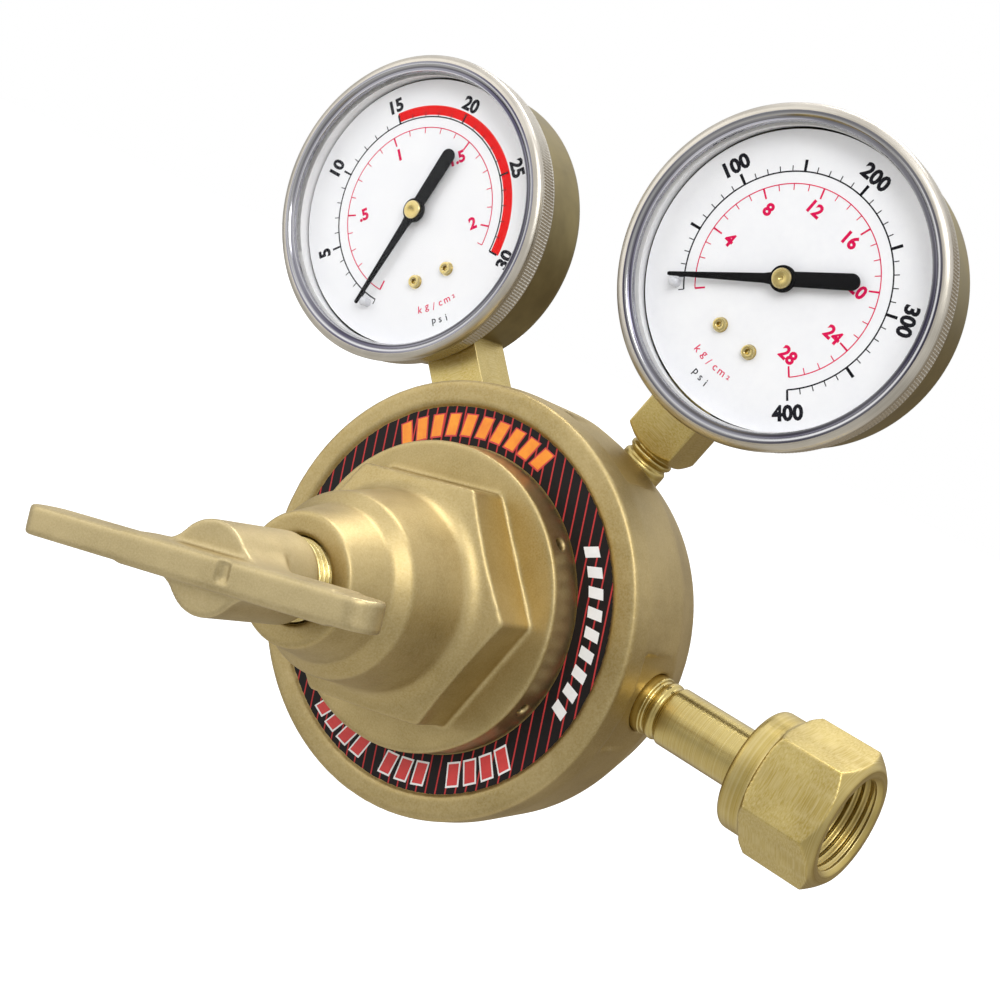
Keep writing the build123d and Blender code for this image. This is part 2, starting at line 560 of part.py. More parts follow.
GAUGE_PIECES = {
    "socket": gauge_socket, "bourdon_tube": gauge_bourdon_tube, "case": gauge_case,
    "case_screws": gauge_case_screws, "bezel": gauge_bezel, "lens": gauge_lens,
    "window_gasket": gauge_window_gasket, "dial": lambda: cut_for_dial_screws(gauge_dial()),
    "dial_screws": gauge_dial_screws, "stop_pin": gauge_stop_pin, "pointer": gauge_pointer,
    "pointer_hub": gauge_pointer_hub, "pinion": gauge_pinion, "sector_gear": gauge_sector_gear,
    "link": gauge_link, "hairspring": gauge_hairspring, "movement_frame": gauge_movement_frame,
}

BODY_PIECES = {
    "body": make_body, "label_ring": make_label_ring, "bonnet": make_bonnet,
    "slip_ring": make_slip_ring, "t_handle": make_t_handle,
    "adjusting_screw": make_adjusting_screw, "spring_button": make_spring_button,
    "adjusting_spring": make_adjusting_spring, "diaphragm_plate": make_diaphragm_plate,
    "diaphragm": make_diaphragm, "valve_nozzle": make_valve_nozzle,
    "valve_stem": make_valve_stem, "valve_seat": make_valve_seat,
    "valve_spring": make_valve_spring, "inlet_nipple": make_inlet_nipple,
    "inlet_filter": make_inlet_filter, "inlet_nut": make_inlet_nut,
    "outlet_fitting": make_outlet_fitting,
}


def export(node, shape):
    pieces = shape if isinstance(shape, list) else [shape]
    placed = [solid for piece in pieces for solid in place(piece).solids()]
    export_step(placed[0] if len(placed) == 1 else Compound(placed), f"parts/{node}.step")


os.makedirs("parts", exist_ok=True)
for node, make in BODY_PIECES.items():
    export(node, make())
for name, (angle, twist) in GAUGES.items():
    x, z = polar(GAUGE_REACH, angle)
    seat = Pos(x, GAUGE_Y, z) * Rot(0, 90 - angle, 0) * Rot(0, 0, twist)
    for piece, make in GAUGE_PIECES.items():
        shape = make()
        pieces = shape if isinstance(shape, list) else [shape]
        export(f"{name}_{piece}", [seat * one for one in pieces])
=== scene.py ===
import json
import math

import bmesh
import bpy
import numpy as np
from mathutils import Matrix, Vector


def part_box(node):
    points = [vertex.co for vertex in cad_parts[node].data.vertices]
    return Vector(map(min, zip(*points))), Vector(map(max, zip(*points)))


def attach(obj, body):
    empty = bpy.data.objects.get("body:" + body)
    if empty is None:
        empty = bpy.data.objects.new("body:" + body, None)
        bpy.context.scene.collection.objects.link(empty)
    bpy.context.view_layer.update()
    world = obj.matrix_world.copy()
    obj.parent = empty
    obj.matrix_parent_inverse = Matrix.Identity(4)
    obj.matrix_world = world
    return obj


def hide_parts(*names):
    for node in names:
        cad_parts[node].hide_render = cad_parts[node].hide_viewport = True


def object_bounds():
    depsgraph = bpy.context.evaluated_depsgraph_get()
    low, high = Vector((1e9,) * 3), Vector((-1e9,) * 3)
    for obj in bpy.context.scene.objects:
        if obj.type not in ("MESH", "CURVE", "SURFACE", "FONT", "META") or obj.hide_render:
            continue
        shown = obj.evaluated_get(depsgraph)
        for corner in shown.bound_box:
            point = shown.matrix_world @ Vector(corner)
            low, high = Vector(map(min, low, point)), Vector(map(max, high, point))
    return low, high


# Gas regulator: cast brass body and bonnet, T-handle screw, two dial gauges, swivel inlet nut.
# Pieces are drawn in millimetres in one of three local frames and placed by the object matrix:
# the body frame (Y along the screw, front rim at y = 0), the gauge frames (dial centre, the dial
# faces -Y, +Z to twelve o'clock) and the row frame (X along the inlet, nut mouth near x = 0).

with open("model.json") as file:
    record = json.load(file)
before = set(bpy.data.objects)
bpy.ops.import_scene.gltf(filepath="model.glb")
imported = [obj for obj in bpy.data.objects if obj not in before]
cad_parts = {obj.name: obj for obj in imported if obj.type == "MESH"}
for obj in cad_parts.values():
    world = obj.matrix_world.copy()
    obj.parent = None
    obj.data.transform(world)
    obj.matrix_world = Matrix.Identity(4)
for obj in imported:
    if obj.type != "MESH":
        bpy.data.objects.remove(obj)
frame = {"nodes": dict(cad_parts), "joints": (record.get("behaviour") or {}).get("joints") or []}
CAD_LOW, CAD_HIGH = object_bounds()
NODES = frame["nodes"]
JOINTS = {joint["name"]: joint for joint in frame["joints"]}
MM = 0.001
GAUGES = ("delivery", "cylinder")
ROOT = "regulator"

# ---------------------------------------------------------------- dimensions, mm and degrees
INCH = 25.4

# Body frame: screw, bonnet bore, handle
SCREW_PITCH = INCH / 18
SCREW_CREST_R, SCREW_ROOT_R = 7.92, 7.1
SCREW_THREAD_START, SCREW_THREAD_END = -52.6, -33.4
SCREW_SHANK_R = 6.5
SCREW_NOSE_R = 5.0
SCREW_NOSE_END = -28.4
THREAD_ROW = 0.12                       # spacing of the screw's mesh rings along its thread
BORE_R, BORE_BACK, BORE_ROOM = 8.4, -33, 0.12
HANDLE_TURN = 14.2                      # the bar's left end is this much low
HANDLE_FRONT = -78.0
GATE_MARK_X, GATE_MARK_Z, GATE_MARK_DEPTH = 8.5, 0.8, 0.55
GATE_MARK_HALF_X, GATE_MARK_HALF_Z = 1.6, 2.2

# Body frame: label
LABEL_INNER_R = 31.5
LABEL_EDGE = 0.05
LABEL_STRIPE_STEP = 2.3
LABEL_TURN = 15.7                       # the label is glued on this much anticlockwise of square
PRINT = 0.03                            # thickness of label marks, numerals and ticks

# Row frame: inlet nut and hose outlet
INLET_PITCH = INCH / 14
NUT_CREST_R, NUT_THREAD_DEPTH = 9.6, 0.85
NUT_THREAD_START, NUT_THREAD_END = -9.3, 0.1
HOSE_PITCH = INCH / 18
HOSE_CREST_R, HOSE_THREAD_DEPTH = 7.0, 0.8
HOSE_THREAD_LENGTH, HOSE_THREAD_LEAD = 14.0, 0.6

# Gauge frames: dial, window, bezel and case
POINTER_JOINT_LEAD = 5                  # the pointer's joint lies this far ahead of the origin
DIAL_FRONT = -8.1
LENS_FRONT, LENS_BACK = -12.4, -11.2
LENS_R, LENS_FLAT_R = 32.2, 29.2
BEZEL_RIBS = 300
KNURL_R, KNURL_DEPTH = 34.3, 0.32
GRIP_Y, GRIP_DEPTH = -12.1, 0.12        # second, shallower knurl on the bezel's front corner
LIP_R, LIP_Y = 33.0, -12.4              # the polished lip lies inside and ahead of these
LIP_DARK_REFLECTIONS = ((31.75, 0.28), (33.1, 0.22))     # (radius, half width) of the rings of painted dark reflection on the lip
CASE_INSIDE_R = 31.5

# Gauge frames: scales, numerals and units
SCALE_SPAN = 270.0
PSI_PER_KG_CM2 = 14.2233
PSI_ARC = (21.85, 22.15)
PSI_TICK_R, PSI_FINE_R, PSI_STRONG_R, PSI_BOLD_R = 22.0, 23.2, 24.2, 24.4
PSI_NUMERAL_R, PSI_NUMERAL_HEIGHT = 26.6, 3.1
KG_ARC = (19.4, 19.62)
KG_TICK_R, KG_FINE_R, KG_STRONG_R = 19.5, 18.2, 17.3
KG_NUMERAL_R, KG_NUMERAL_HEIGHT = 15.1, 2.7
UNIT_HEIGHT = 1.7
KG_UNIT_R, KG_UNIT_STEP = 22.6, 4.6     # the step is the angle from letter to letter
PSI_UNIT_R, PSI_UNIT_STEP = 26.2, 3.6
PSI_BOLD, KG_BOLD, UNIT_BOLD = 0.042, 0.040, 0.006      # outline offset of a font at size 1
FINE_TICK, STRONG_TICK, KG_STRONG_TICK, BOLD_TICK = 0.2, 0.45, 0.38, 0.6
RED_BAND, RED_BAND_THICK = (22.4, 24.6), 0.02
UPRIGHT_LIMIT = 120                     # numerals beyond this angle from twelve are turned over
CAP_HEIGHT = 0.73                       # capital height of the built-in font at size 1

# Gauge frames: pointer, dial screws and stop pin
POINTER_REST = -127.5
POINTER_FRONT, POINTER_BACK = -10.1, -9.7
POINTER_HALF_WIDTHS = ((25.0, 0.28), (24.6, 0.42), (4.0, 1.0), (2.4, 1.25), (0.0, 1.5))  # by reach
TAIL_REACH, TAIL_R = 14.3, 1.7
DIAL_SCREW_X, DIAL_SCREW_Z = 4.25, -15.5
STOP_PIN_ANGLE, STOP_PIN_REACH, STOP_PIN_R = -131.4, 23.6, 0.95

# ---------------------------------------------------------------- camera of the photo
CAMERA_LENS, CAMERA_SENSOR = 72.05, 36.0
CAMERA_SHIFT = (0.0578, -0.0747)
CAMERA_SPOT = (207.76, -340.42, 81.19)          # from the body's origin
CAMERA_FORWARD, CAMERA_UP = (-0.5469, 0.8282, -0.1223), (-0.4131, -0.1400, 0.8999)


# ---------------------------------------------------------------- local frames
def frame_matrix(origin, x, y, z):
    rows = [[x[i], y[i], z[i], origin[i]] for i in range(3)]
    return Matrix(rows + [[0, 0, 0, 1]])


SCREW_POINT = JOINTS["screw_turn"]["pos_m"]
BODY_ORIGIN = Vector((SCREW_POINT[0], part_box("body")[0].y, SCREW_POINT[2]))
BODY_FRAME = Matrix.Translation(BODY_ORIGIN)
ROW_FRAME = Matrix.Identity(4)


def gauge_frame(name):
    """Frame of a gauge from its pointer's joint; +Z points away from the body."""
    joint = JOINTS[name + "_pointer_turn"]
    y = Vector(joint["axis"]).normalized()
    origin = Vector(joint["pos_m"]) + y * POINTER_JOINT_LEAD * MM
    out = origin - BODY_ORIGIN
    z = Vector((out.x, 0, out.z)).normalized()
    return frame_matrix(origin, y.cross(z), y, z)


GAUGE_FRAME = {name: gauge_frame(name) for name in GAUGES}


# ---------------------------------------------------------------- mesh helpers
def add_object(name, mesh, matrix):
    obj = bpy.data.objects.new(name, mesh)
    bpy.context.scene.collection.objects.link(obj)
    obj.matrix_world = matrix
    return obj


def finish_mesh(bm, name, matrix, sharp=35.0):
    """Write a bmesh in mm as an object in metres with smooth shading and sharp edges."""
    bmesh.ops.remove_doubles(bm, verts=bm.verts, dist=1e-5)
    bmesh.ops.recalc_face_normals(bm, faces=bm.faces)
    bmesh.ops.scale(bm, vec=(MM, MM, MM), verts=bm.verts)
    mesh = bpy.data.meshes.new(name)
    bm.to_mesh(mesh)
    bm.free()
    mesh.polygons.foreach_set("use_smooth", [True] * len(mesh.polygons))
    mesh.set_sharp_from_angle(angle=math.radians(sharp))
    return add_object(name, mesh, matrix)


def lathe(bm, outline, segments, reshape=None):
    """Closed outline of (radius, y) turned about Y; reshape(radius, y, angle) may move a point."""
    rings = []
    for radius, y in outline:
        if radius < 1e-6:
            rings.append([bm.verts.new((0, y, 0))])
            continue
        ring = []
        for step in range(segments):
            angle = 2 * math.pi * step / segments
            r, h = reshape(radius, y, angle) if reshape else (radius, y)
            ring.append(bm.verts.new((r * math.cos(angle), h, r * math.sin(angle))))
        rings.append(ring)
    for first, second in zip(rings, rings[1:] + rings[:1]):
        for step in range(segments):
            nxt = (step + 1) % segments
            corners = [first[step % len(first)], first[nxt % len(first)],
                       second[nxt % len(second)], second[step % len(second)]]
            unique = list(dict.fromkeys(corners))
            if len(unique) > 2:
                bm.faces.new(unique)


def rounded(outline, steps=3):
    """Outline whose corners (radius, y, rounding) become short arcs."""
    points = []
    count = len(outline)
    for index, corner in enumerate(outline):
        if len(corner) == 2:
            points.append(corner)
            continue
        here = Vector(corner[:2])
        before = Vector(outline[index - 1][:2]) - here
        after = Vector(outline[(index + 1) % count][:2]) - here
        cut = min(corner[2], before.length * 0.45, after.length * 0.45)
        start, end = here + before.normalized() * cut, here + after.normalized() * cut
        for step in range(steps + 1):
            t = step / steps
            point = start.lerp(here, t).lerp(here.lerp(end, t), t)
            points.append((point.x, point.y))
    return points


def softened(node, name, voxel, passes, matrix=ROW_FRAME, reshape=None):
    """Copy of a CAD node with edges rounded by remeshing; reshape(points in mm) moves points."""
    bm = bmesh.new()
    bm.from_mesh(NODES[node].data)
    bmesh.ops.remove_doubles(bm, verts=bm.verts, dist=1e-7)
    bmesh.ops.transform(bm, matrix=matrix.inverted(), verts=bm.verts)
    mesh = bpy.data.meshes.new(name)
    bm.to_mesh(mesh)
    bm.free()
    draft = add_object(name + "_draft", mesh, ROW_FRAME)
    remesh = draft.modifiers.new("Remesh", "REMESH")
    remesh.mode = "VOXEL"
    remesh.voxel_size = voxel * MM
    smooth = draft.modifiers.new("Smooth", "SMOOTH")
    smooth.factor = 0.5
    smooth.iterations = passes
    graph = bpy.context.evaluated_depsgraph_get()
    made = bpy.data.meshes.new_from_object(draft.evaluated_get(graph))
    bpy.data.objects.remove(draft)
    made.name = name
    if reshape:
        points = np.empty(len(made.vertices) * 3)
        made.vertices.foreach_get("co", points)
        points = reshape(points.reshape(-1, 3) / MM) * MM
        made.vertices.foreach_set("co", points.ravel())
    made.materials.clear()
    made.polygons.foreach_set("use_smooth", [True] * len(made.polygons))
    made.update()
    return add_object(name, made, matrix)


def place(obj, body, replaces=(), material=None):
    """Give a piece its material, the CAD nodes it stands for and the body it rides on."""
    if material:
        obj.data.materials.clear()
        obj.data.materials.append(material)
    if replaces:
        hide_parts(*replaces)
    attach(obj, body)
    return obj


# ---------------------------------------------------------------- shader helpers
class Shader:
    """Small builder for node materials."""

    def __init__(self, name):
        self.material = bpy.data.materials.new(name)
        self.material.use_nodes = True
        self.tree = self.material.node_tree
        self.tree.nodes.clear()
        self.output = self.node("ShaderNodeOutputMaterial")

    def node(self, kind, inputs=None, **settings):
        node = self.tree.nodes.new(kind)
        for key, value in settings.items():
            setattr(node, key, value)
        for key, value in (inputs or {}).items():
            if isinstance(value, bpy.types.NodeSocket):
                self.tree.links.new(value, node.inputs[key])
            else:
                node.inputs[key].default_value = value
        return node

    def coordinates(self, matrix=None):
        """Position in metres in the object's own frame, or in another local frame."""
        position = self.node("ShaderNodeTexCoord").outputs["Object"]
        if matrix is None:
            return position
        return self.node("ShaderNodeMapping", {"Vector": position,
                                               "Location": matrix.to_translation(),
                                               "Rotation": matrix.to_euler()},
                         vector_type="TEXTURE").outputs[0]

    def split(self, position):
        return self.node("ShaderNodeSeparateXYZ", {0: position}).outputs

    def radius(self, first, second):
        return self.math("SQRT", self.math("ADD", self.math("POWER", first, 2.0),
                                           self.math("POWER", second, 2.0)))

    def noise(self, vector, scale, detail=2.0, roughness=0.5):
        return self.node("ShaderNodeTexNoise", {"Vector": vector, "Scale": scale, "Detail": detail,
                                                "Roughness": roughness}).outputs["Fac"]

    def math(self, kind, first, second=0.0, clamp=False):
        return self.node("ShaderNodeMath", {0: first, 1: second}, operation=kind,
                         use_clamp=clamp).outputs[0]

    def remap(self, value, low, high, to_low, to_high):
        return self.node("ShaderNodeMapRange", {"Value": value, "From Min": low, "From Max": high,
                                                "To Min": to_low, "To Max": to_high}).outputs[0]

    def blend(self, share, first, second):
        node = self.node("ShaderNodeMix", data_type="RGBA")
        for index, value in ((0, share), (6, first), (7, second)):
            if isinstance(value, bpy.types.NodeSocket):
                self.tree.links.new(value, node.inputs[index])
            else:
                node.inputs[index].default_value = value
        return node.outputs[2]

    def bump(self, height, distance, strength=1.0, normal=None):
        inputs = {"Height": height, "Distance": distance, "Strength": strength}
        if normal is not None:
            inputs["Normal"] = normal
        return self.node("ShaderNodeBump", inputs).outputs[0]

    def wear(self, radius):
        """0 on open faces, rising to 1 on edges."""
        soft = self.node("ShaderNodeBevel", {"Radius": radius}, samples=6).outputs[0]
        true = self.node("ShaderNodeNewGeometry").outputs["Normal"]
        agree = self.node("ShaderNodeVectorMath", {0: soft, 1: true}, operation="DOT_PRODUCT")
        return self.remap(agree.outputs["Value"], 0.985, 0.86, 0.0, 1.0)

    def principled(self, inputs):
        shader = self.node("ShaderNodeBsdfPrincipled", inputs)
        self.tree.links.new(shader.outputs[0], self.output.inputs["Surface"])
        return shader


def colour(red, green, blue):
    return (red, green, blue, 1.0)


def cast_brass(name, dark, light, wear_and_sheen):
    """Bead-blasted cast brass: cloudy tone, fine pitting, edges rubbed brighter and given a painted
    highlight.
    """
    s = Shader(name)
    position = s.coordinates()
    clouds = s.noise(position, 60, 4, 0.6)
    grain = s.noise(position, 2600, 2, 0.6)
    tone = s.blend(s.remap(clouds, 0.35, 0.65, 0.0, 1.0), dark, light)
    tone = s.blend(s.remap(grain, 0.3, 0.7, 0.0, 0.22), tone, wear_and_sheen)
    patchy = s.remap(s.noise(position, 300, 3), 0.3, 0.6, 0.35, 1.0)
    # edges, in patches, blend towards the light colour: rubbed brass with a painted highlight
    edge = s.math("MULTIPLY", s.wear(0.9 * MM), patchy)
    tone = s.blend(edge, tone, wear_and_sheen)
    rough = s.remap(s.math("ADD", clouds, s.math("MULTIPLY", grain, 0.5)), 0.45, 1.0, 0.40, 0.52)
    rough = s.math("SUBTRACT", rough, s.math("MULTIPLY", edge, 0.14))
    pits = s.bump(grain, 0.05 * MM, 0.5)
    waves = s.bump(s.noise(position, 220, 2), 0.25 * MM, 0.35, pits)
    s.principled({"Base Color": tone, "Metallic": 1.0, "Roughness": rough, "Normal": waves})
    return s.material


def turned_metal(name, matrix, axis, dark, light, wear_and_sheen, rough, lines=0.6):
    """Machined metal with fine tool lines round an axis ("x", "y" or "z") of a local frame."""
    s = Shader(name)
    position = s.coordinates(matrix)
    parts = s.split(position)
    along = parts["xyz".index(axis)]
    across = [parts[i] for i in range(3) if i != "xyz".index(axis)]
    turn_point = s.node("ShaderNodeCombineXYZ", {0: along, 1: s.radius(*across)}).outputs[0]
    tool = s.noise(turn_point, 3200, 3, 0.7)
    clouds = s.noise(position, 90, 3, 0.6)
    tone = s.blend(s.remap(clouds, 0.35, 0.65, 0.0, 1.0), dark, light)
    tone = s.blend(s.remap(tool, 0.35, 0.65, 0.0, 0.35), tone, wear_and_sheen)
    # edges blend towards the light colour: worn metal with a painted highlight
    edge = s.wear(0.5 * MM)
    tone = s.blend(edge, tone, wear_and_sheen)
    finish = s.remap(s.math("ADD", s.math("MULTIPLY", tool, 0.5), clouds), 0.4, 1.1,
                     rough - 0.05, rough + 0.08)
    finish = s.math("SUBTRACT", finish, s.math("MULTIPLY", edge, 0.08))
    s.principled({"Base Color": tone, "Metallic": 1.0, "Roughness": finish,
                  "Normal": s.bump(tool, 0.03 * MM, lines)})
    return s.material


def polished_lip(name):
    """Plated lip of the bezel: streaked grey, bright on its ridges, with painted smoke-blue dark
    reflections in two rings at its hollows.
    """
    s = Shader(name)
    position = s.coordinates()
    parts = s.split(position)
    radius = s.radius(parts[0], parts[2])
    streak = s.noise(s.node("ShaderNodeCombineXYZ", {0: radius, 1: parts[1]}).outputs[0], 900, 2)
    patches = s.noise(position, 26, 2)
    tone = s.blend(s.remap(streak, 0.35, 0.65, 0.0, 1.0), colour(0.30, 0.30, 0.33),
                   colour(0.52, 0.52, 0.52))
    # painted dark reflections: two smoke-blue rings, darkened by radius
    for middle, half in LIP_DARK_REFLECTIONS:
        away = s.math("ABSOLUTE", s.math("SUBTRACT", radius, middle * MM))
        dark_reflection = s.remap(away, half * MM, 2 * half * MM, 1.0, 0.0)
        share = s.math("MULTIPLY", dark_reflection, s.remap(patches, 0.35, 0.6, 0.35, 1.0), clamp=True)
        tone = s.blend(share, tone, colour(0.07, 0.065, 0.10))
    s.principled({"Base Color": tone, "Metallic": 1.0,
                  "Roughness": s.remap(patches, 0.3, 0.7, 0.10, 0.18)})
    return s.material


def case_finish(name, matrix):
    """Olive lacquered steel whose inside is painted white in front of the dial."""
    s = Shader(name)
    position = s.coordinates(matrix)
    parts = s.split(position)
    radius = s.radius(parts[0], parts[2])
    inside = s.math("LESS_THAN", radius, CASE_INSIDE_R * MM)
    ahead = s.math("LESS_THAN", parts[1], (DIAL_FRONT + 0.8) * MM)
    painted = s.math("MULTIPLY", inside, ahead)
    clouds = s.noise(position, 90, 3, 0.6)
    fine = s.noise(position, 1800, 2, 0.6)
    olive = s.blend(s.remap(clouds, 0.35, 0.65, 0.0, 1.0), colour(0.20, 0.16, 0.07),
                    colour(0.27, 0.22, 0.10))
    olive = s.blend(s.wear(0.5 * MM), olive, colour(0.42, 0.36, 0.20))
    s.principled({"Base Color": s.blend(painted, olive, colour(0.86, 0.86, 0.87)),
                  "Metallic": s.math("SUBTRACT", 1.0, painted),
                  "Roughness": s.remap(clouds, 0.3, 0.7, 0.36, 0.46),
                  "Normal": s.bump(fine, 0.02 * MM, 0.3)})
    return s.material


def plain_finish(name, dark, light, rough, metallic=0.0, scale=900, depth=0.03, coat=0.0,
                 specular=0.5):
    """Paint, rubber, plastic or dull metal with a mottled tone and a fine surface."""
    s = Shader(name)
    position = s.coordinates()
    fine = s.noise(position, scale, 3, 0.6)
    clouds = s.noise(position, 110, 3, 0.55)
    mixed = s.math("ADD", s.math("MULTIPLY", fine, 0.4), s.math("MULTIPLY", clouds, 0.6))
    tone = s.blend(s.remap(mixed, 0.35, 0.65, 0.0, 1.0), dark, light)
    s.principled({"Base Color": tone, "Metallic": metallic,
                  "Roughness": s.remap(mixed, 0.3, 0.7, rough - 0.05, rough + 0.07),
                  "Coat Weight": coat, "Specular IOR Level": specular,
                  "Normal": s.bump(fine, depth * MM, 0.5)})
    return s.material


def window_glass(name):
    """Clear flat window: light passes straight through, and the surface mirrors at a slant."""
    s = Shader(name)
    position = s.coordinates()
    haze = s.noise(position, 140, 3)
    gloss = s.node("ShaderNodeBsdfPrincipled", {
        "Base Color": s.blend(haze, colour(0.90, 0.92, 0.95), colour(0.97, 0.98, 1.0)),
        "Roughness": s.remap(haze, 0.3, 0.7, 0.01, 0.03), "Metallic": 1.0})
    clear = s.node("ShaderNodeBsdfTransparent")
    facing = s.node("ShaderNodeLayerWeight", {"Blend": 0.5}).outputs["Facing"]
    share = s.math("ADD", s.math("MULTIPLY", s.math("POWER", facing, 3.0), 0.5), 0.003, clamp=True)
    mix = s.node("ShaderNodeMixShader", {0: share, 1: clear.outputs[0], 2: gloss.outputs[0]})
    s.tree.links.new(mix.outputs[0], s.output.inputs["Surface"])
    return s.material


def label_foil(name):
    """Black printed foil with thin red stripes, turned with the label from the body's Z."""
    s = Shader(name)
    position = s.coordinates()
    parts = s.split(position)
    turn = math.radians(LABEL_TURN)
    across = s.math("ADD", s.math("MULTIPLY", parts[0], math.cos(turn)),
                    s.math("MULTIPLY", parts[2], math.sin(turn)))
    phase = s.math("FRACT", s.math("MULTIPLY", across, 1 / (LABEL_STRIPE_STEP * MM)))
    distance = s.math("ABSOLUTE", s.math("SUBTRACT", phase, 0.5))
    stripe = s.remap(distance, 0.055, 0.085, 1.0, 0.0)
    fine = s.noise(position, 1500, 2)
    black = s.blend(fine, colour(0.006, 0.005, 0.005), colour(0.016, 0.012, 0.013))
    red = s.blend(fine, colour(0.42, 0.03, 0.035), colour(0.58, 0.05, 0.05))
    s.principled({"Base Color": s.blend(stripe, black, red),
                  "Roughness": s.remap(fine, 0.3, 0.7, 0.45, 0.55), "Specular IOR Level": 0.18,
                  "Normal": s.bump(fine, 0.01 * MM, 0.3)})
    return s.material


# ---------------------------------------------------------------- materials
BRASS_DARK, BRASS_LIGHT = colour(0.37, 0.275, 0.105), colour(0.48, 0.37, 0.165)
# light colour of rubbed edges and of the painted highlight on edges
BRASS_WEAR_AND_SHEEN = colour(0.80, 0.70, 0.47)
GOLD_DARK, GOLD_LIGHT = colour(0.42, 0.31, 0.08), colour(0.53, 0.41, 0.13)
# light colour of worn edges and of the painted highlight on edges
GOLD_WEAR_AND_SHEEN = colour(0.82, 0.72, 0.44)
CAST = cast_brass("cast_brass", BRASS_DARK, BRASS_LIGHT, BRASS_WEAR_AND_SHEEN)
HANDLE_BRASS = cast_brass("forged_brass", colour(0.41, 0.325, 0.16), colour(0.52, 0.42, 0.22),
                          BRASS_WEAR_AND_SHEEN)


def gold(name, matrix, axis, rough=0.30, lines=0.6):
    return turned_metal(name, matrix, axis, GOLD_DARK, GOLD_LIGHT, GOLD_WEAR_AND_SHEEN, rough, lines)


GOLD_X = gold("turned_brass_inlet", None, "x", rough=0.22, lines=0.3)
GOLD_NUT = gold("turned_brass_nut", None, "x", rough=0.36, lines=0.06)
GOLD_Y = gold("turned_brass_body", BODY_FRAME, "y", rough=0.32)
GOLD_GAUGE = gold("turned_brass_gauge", None, "z", rough=0.34, lines=0.08)
GOLD_SMALL = gold("turned_brass_small", None, "y", rough=0.25, lines=0.4)
# third colour: worn edges with a painted highlight
NICKEL = turned_metal("knurled_nickel", None, "y", colour(0.42, 0.385, 0.325),
                      colour(0.54, 0.50, 0.43), colour(0.86, 0.83, 0.76), rough=0.32, lines=0.3)
CHROME = polished_lip("polished_lip")
STEEL = plain_finish("machined_steel", colour(0.42, 0.42, 0.43), colour(0.56, 0.56, 0.57),
                     rough=0.32, metallic=1.0)
SPRING = plain_finish("drawn_spring_wire", colour(0.30, 0.30, 0.31), colour(0.45, 0.45, 0.47),
                      rough=0.30, metallic=1.0, scale=500)
BRONZE = plain_finish("drawn_bronze", colour(0.45, 0.25, 0.11), colour(0.56, 0.34, 0.16),
                      rough=0.30, metallic=1.0)
SINTER = plain_finish("sintered_bronze", colour(0.20, 0.12, 0.06), colour(0.42, 0.28, 0.15),
                      rough=0.62, metallic=0.9, scale=3500, depth=0.2)
RUBBER = plain_finish("black_rubber", colour(0.012, 0.012, 0.012), colour(0.03, 0.03, 0.03),
                      rough=0.7)
GASKET = plain_finish("white_gasket", colour(0.78, 0.78, 0.78), colour(0.88, 0.88, 0.88),
                      rough=0.6)
SEAT = plain_finish("seat_polymer", colour(0.70, 0.70, 0.66), colour(0.82, 0.82, 0.79), rough=0.5)
ENAMEL = plain_finish("dial_enamel", colour(0.88, 0.89, 0.92), colour(0.92, 0.93, 0.95),
                      rough=0.42, scale=700, depth=0.008)


def ink(name, dark, light):
    return plain_finish(name, dark, light, rough=0.6, scale=1200, depth=0.005, specular=0.08)


INK_BLACK = ink("print_black", colour(0.006, 0.006, 0.010), colour(0.016, 0.016, 0.022))
INK_RED = ink("print_red", colour(0.66, 0.002, 0.07), colour(0.76, 0.006, 0.10))
BAND_RED = ink("print_band_red", colour(0.78, 0.0, 0.0), colour(0.86, 0.004, 0.004))
POINTER_BLACK = plain_finish("pointer_black", colour(0.001, 0.001, 0.0015),
                             colour(0.004, 0.004, 0.005), rough=0.55, scale=1500, depth=0.01,
                             specular=0.10)
PIN_CLEAR = plain_finish("stop_pin_plastic", colour(0.55, 0.56, 0.60), colour(0.72, 0.73, 0.76),
                         rough=0.2, scale=800, depth=0.01, coat=0.5)
LABEL = label_foil("label_foil")


def label_print(name, dark, light):
    return plain_finish(name, dark, light, rough=0.35, depth=0.008)


LABEL_ORANGE = label_print("label_orange", colour(0.85, 0.23, 0.01), colour(0.95, 0.36, 0.02))
LABEL_WHITE = label_print("label_white", colour(0.80, 0.80, 0.80), colour(0.90, 0.90, 0.90))
LABEL_RED = label_print("label_red", colour(0.55, 0.03, 0.03), colour(0.68, 0.05, 0.045))
GLASS = window_glass("gauge_window")


# ---------------------------------------------------------------- threads
def thread_shape(turns):
    """0 at a crest to 1 at a root of a rounded V thread."""
    phase = np.abs(np.mod(turns, 1.0) - 0.5) * 2
    return np.clip(1.25 * phase - 0.12, 0.0, 1.0)


def cut_thread(points, axis, centre, crest, depth, pitch, start, end, inward):
    """Moves the points that lie on a plain thread cylinder onto a helical thread."""
    wall, lead = 0.35, 0.6              # reach of the wall in radius, fade-in at both ends
    first, second = [i for i in range(3) if i != axis]
    u, v = points[:, first] - centre[first], points[:, second] - centre[second]
    along = points[:, axis]
    radius = np.hypot(u, v)
    on_wall = np.clip(1 - np.abs(radius - crest) / wall, 0, 1) > 0.3
    fade = np.clip((along - start) / lead, 0, 1) * np.clip((end - along) / lead, 0, 1)
    turns = along / pitch - np.arctan2(v, u) / (2 * math.pi)
    sign = -1.0 if inward else 1.0
    moved = radius + sign * depth * thread_shape(turns) * fade
    scale = np.where(on_wall, moved / np.maximum(radius, 1e-6), 1.0)
    out = points.copy()
    out[:, first] = centre[first] + u * scale
    out[:, second] = centre[second] + v * scale
    return out


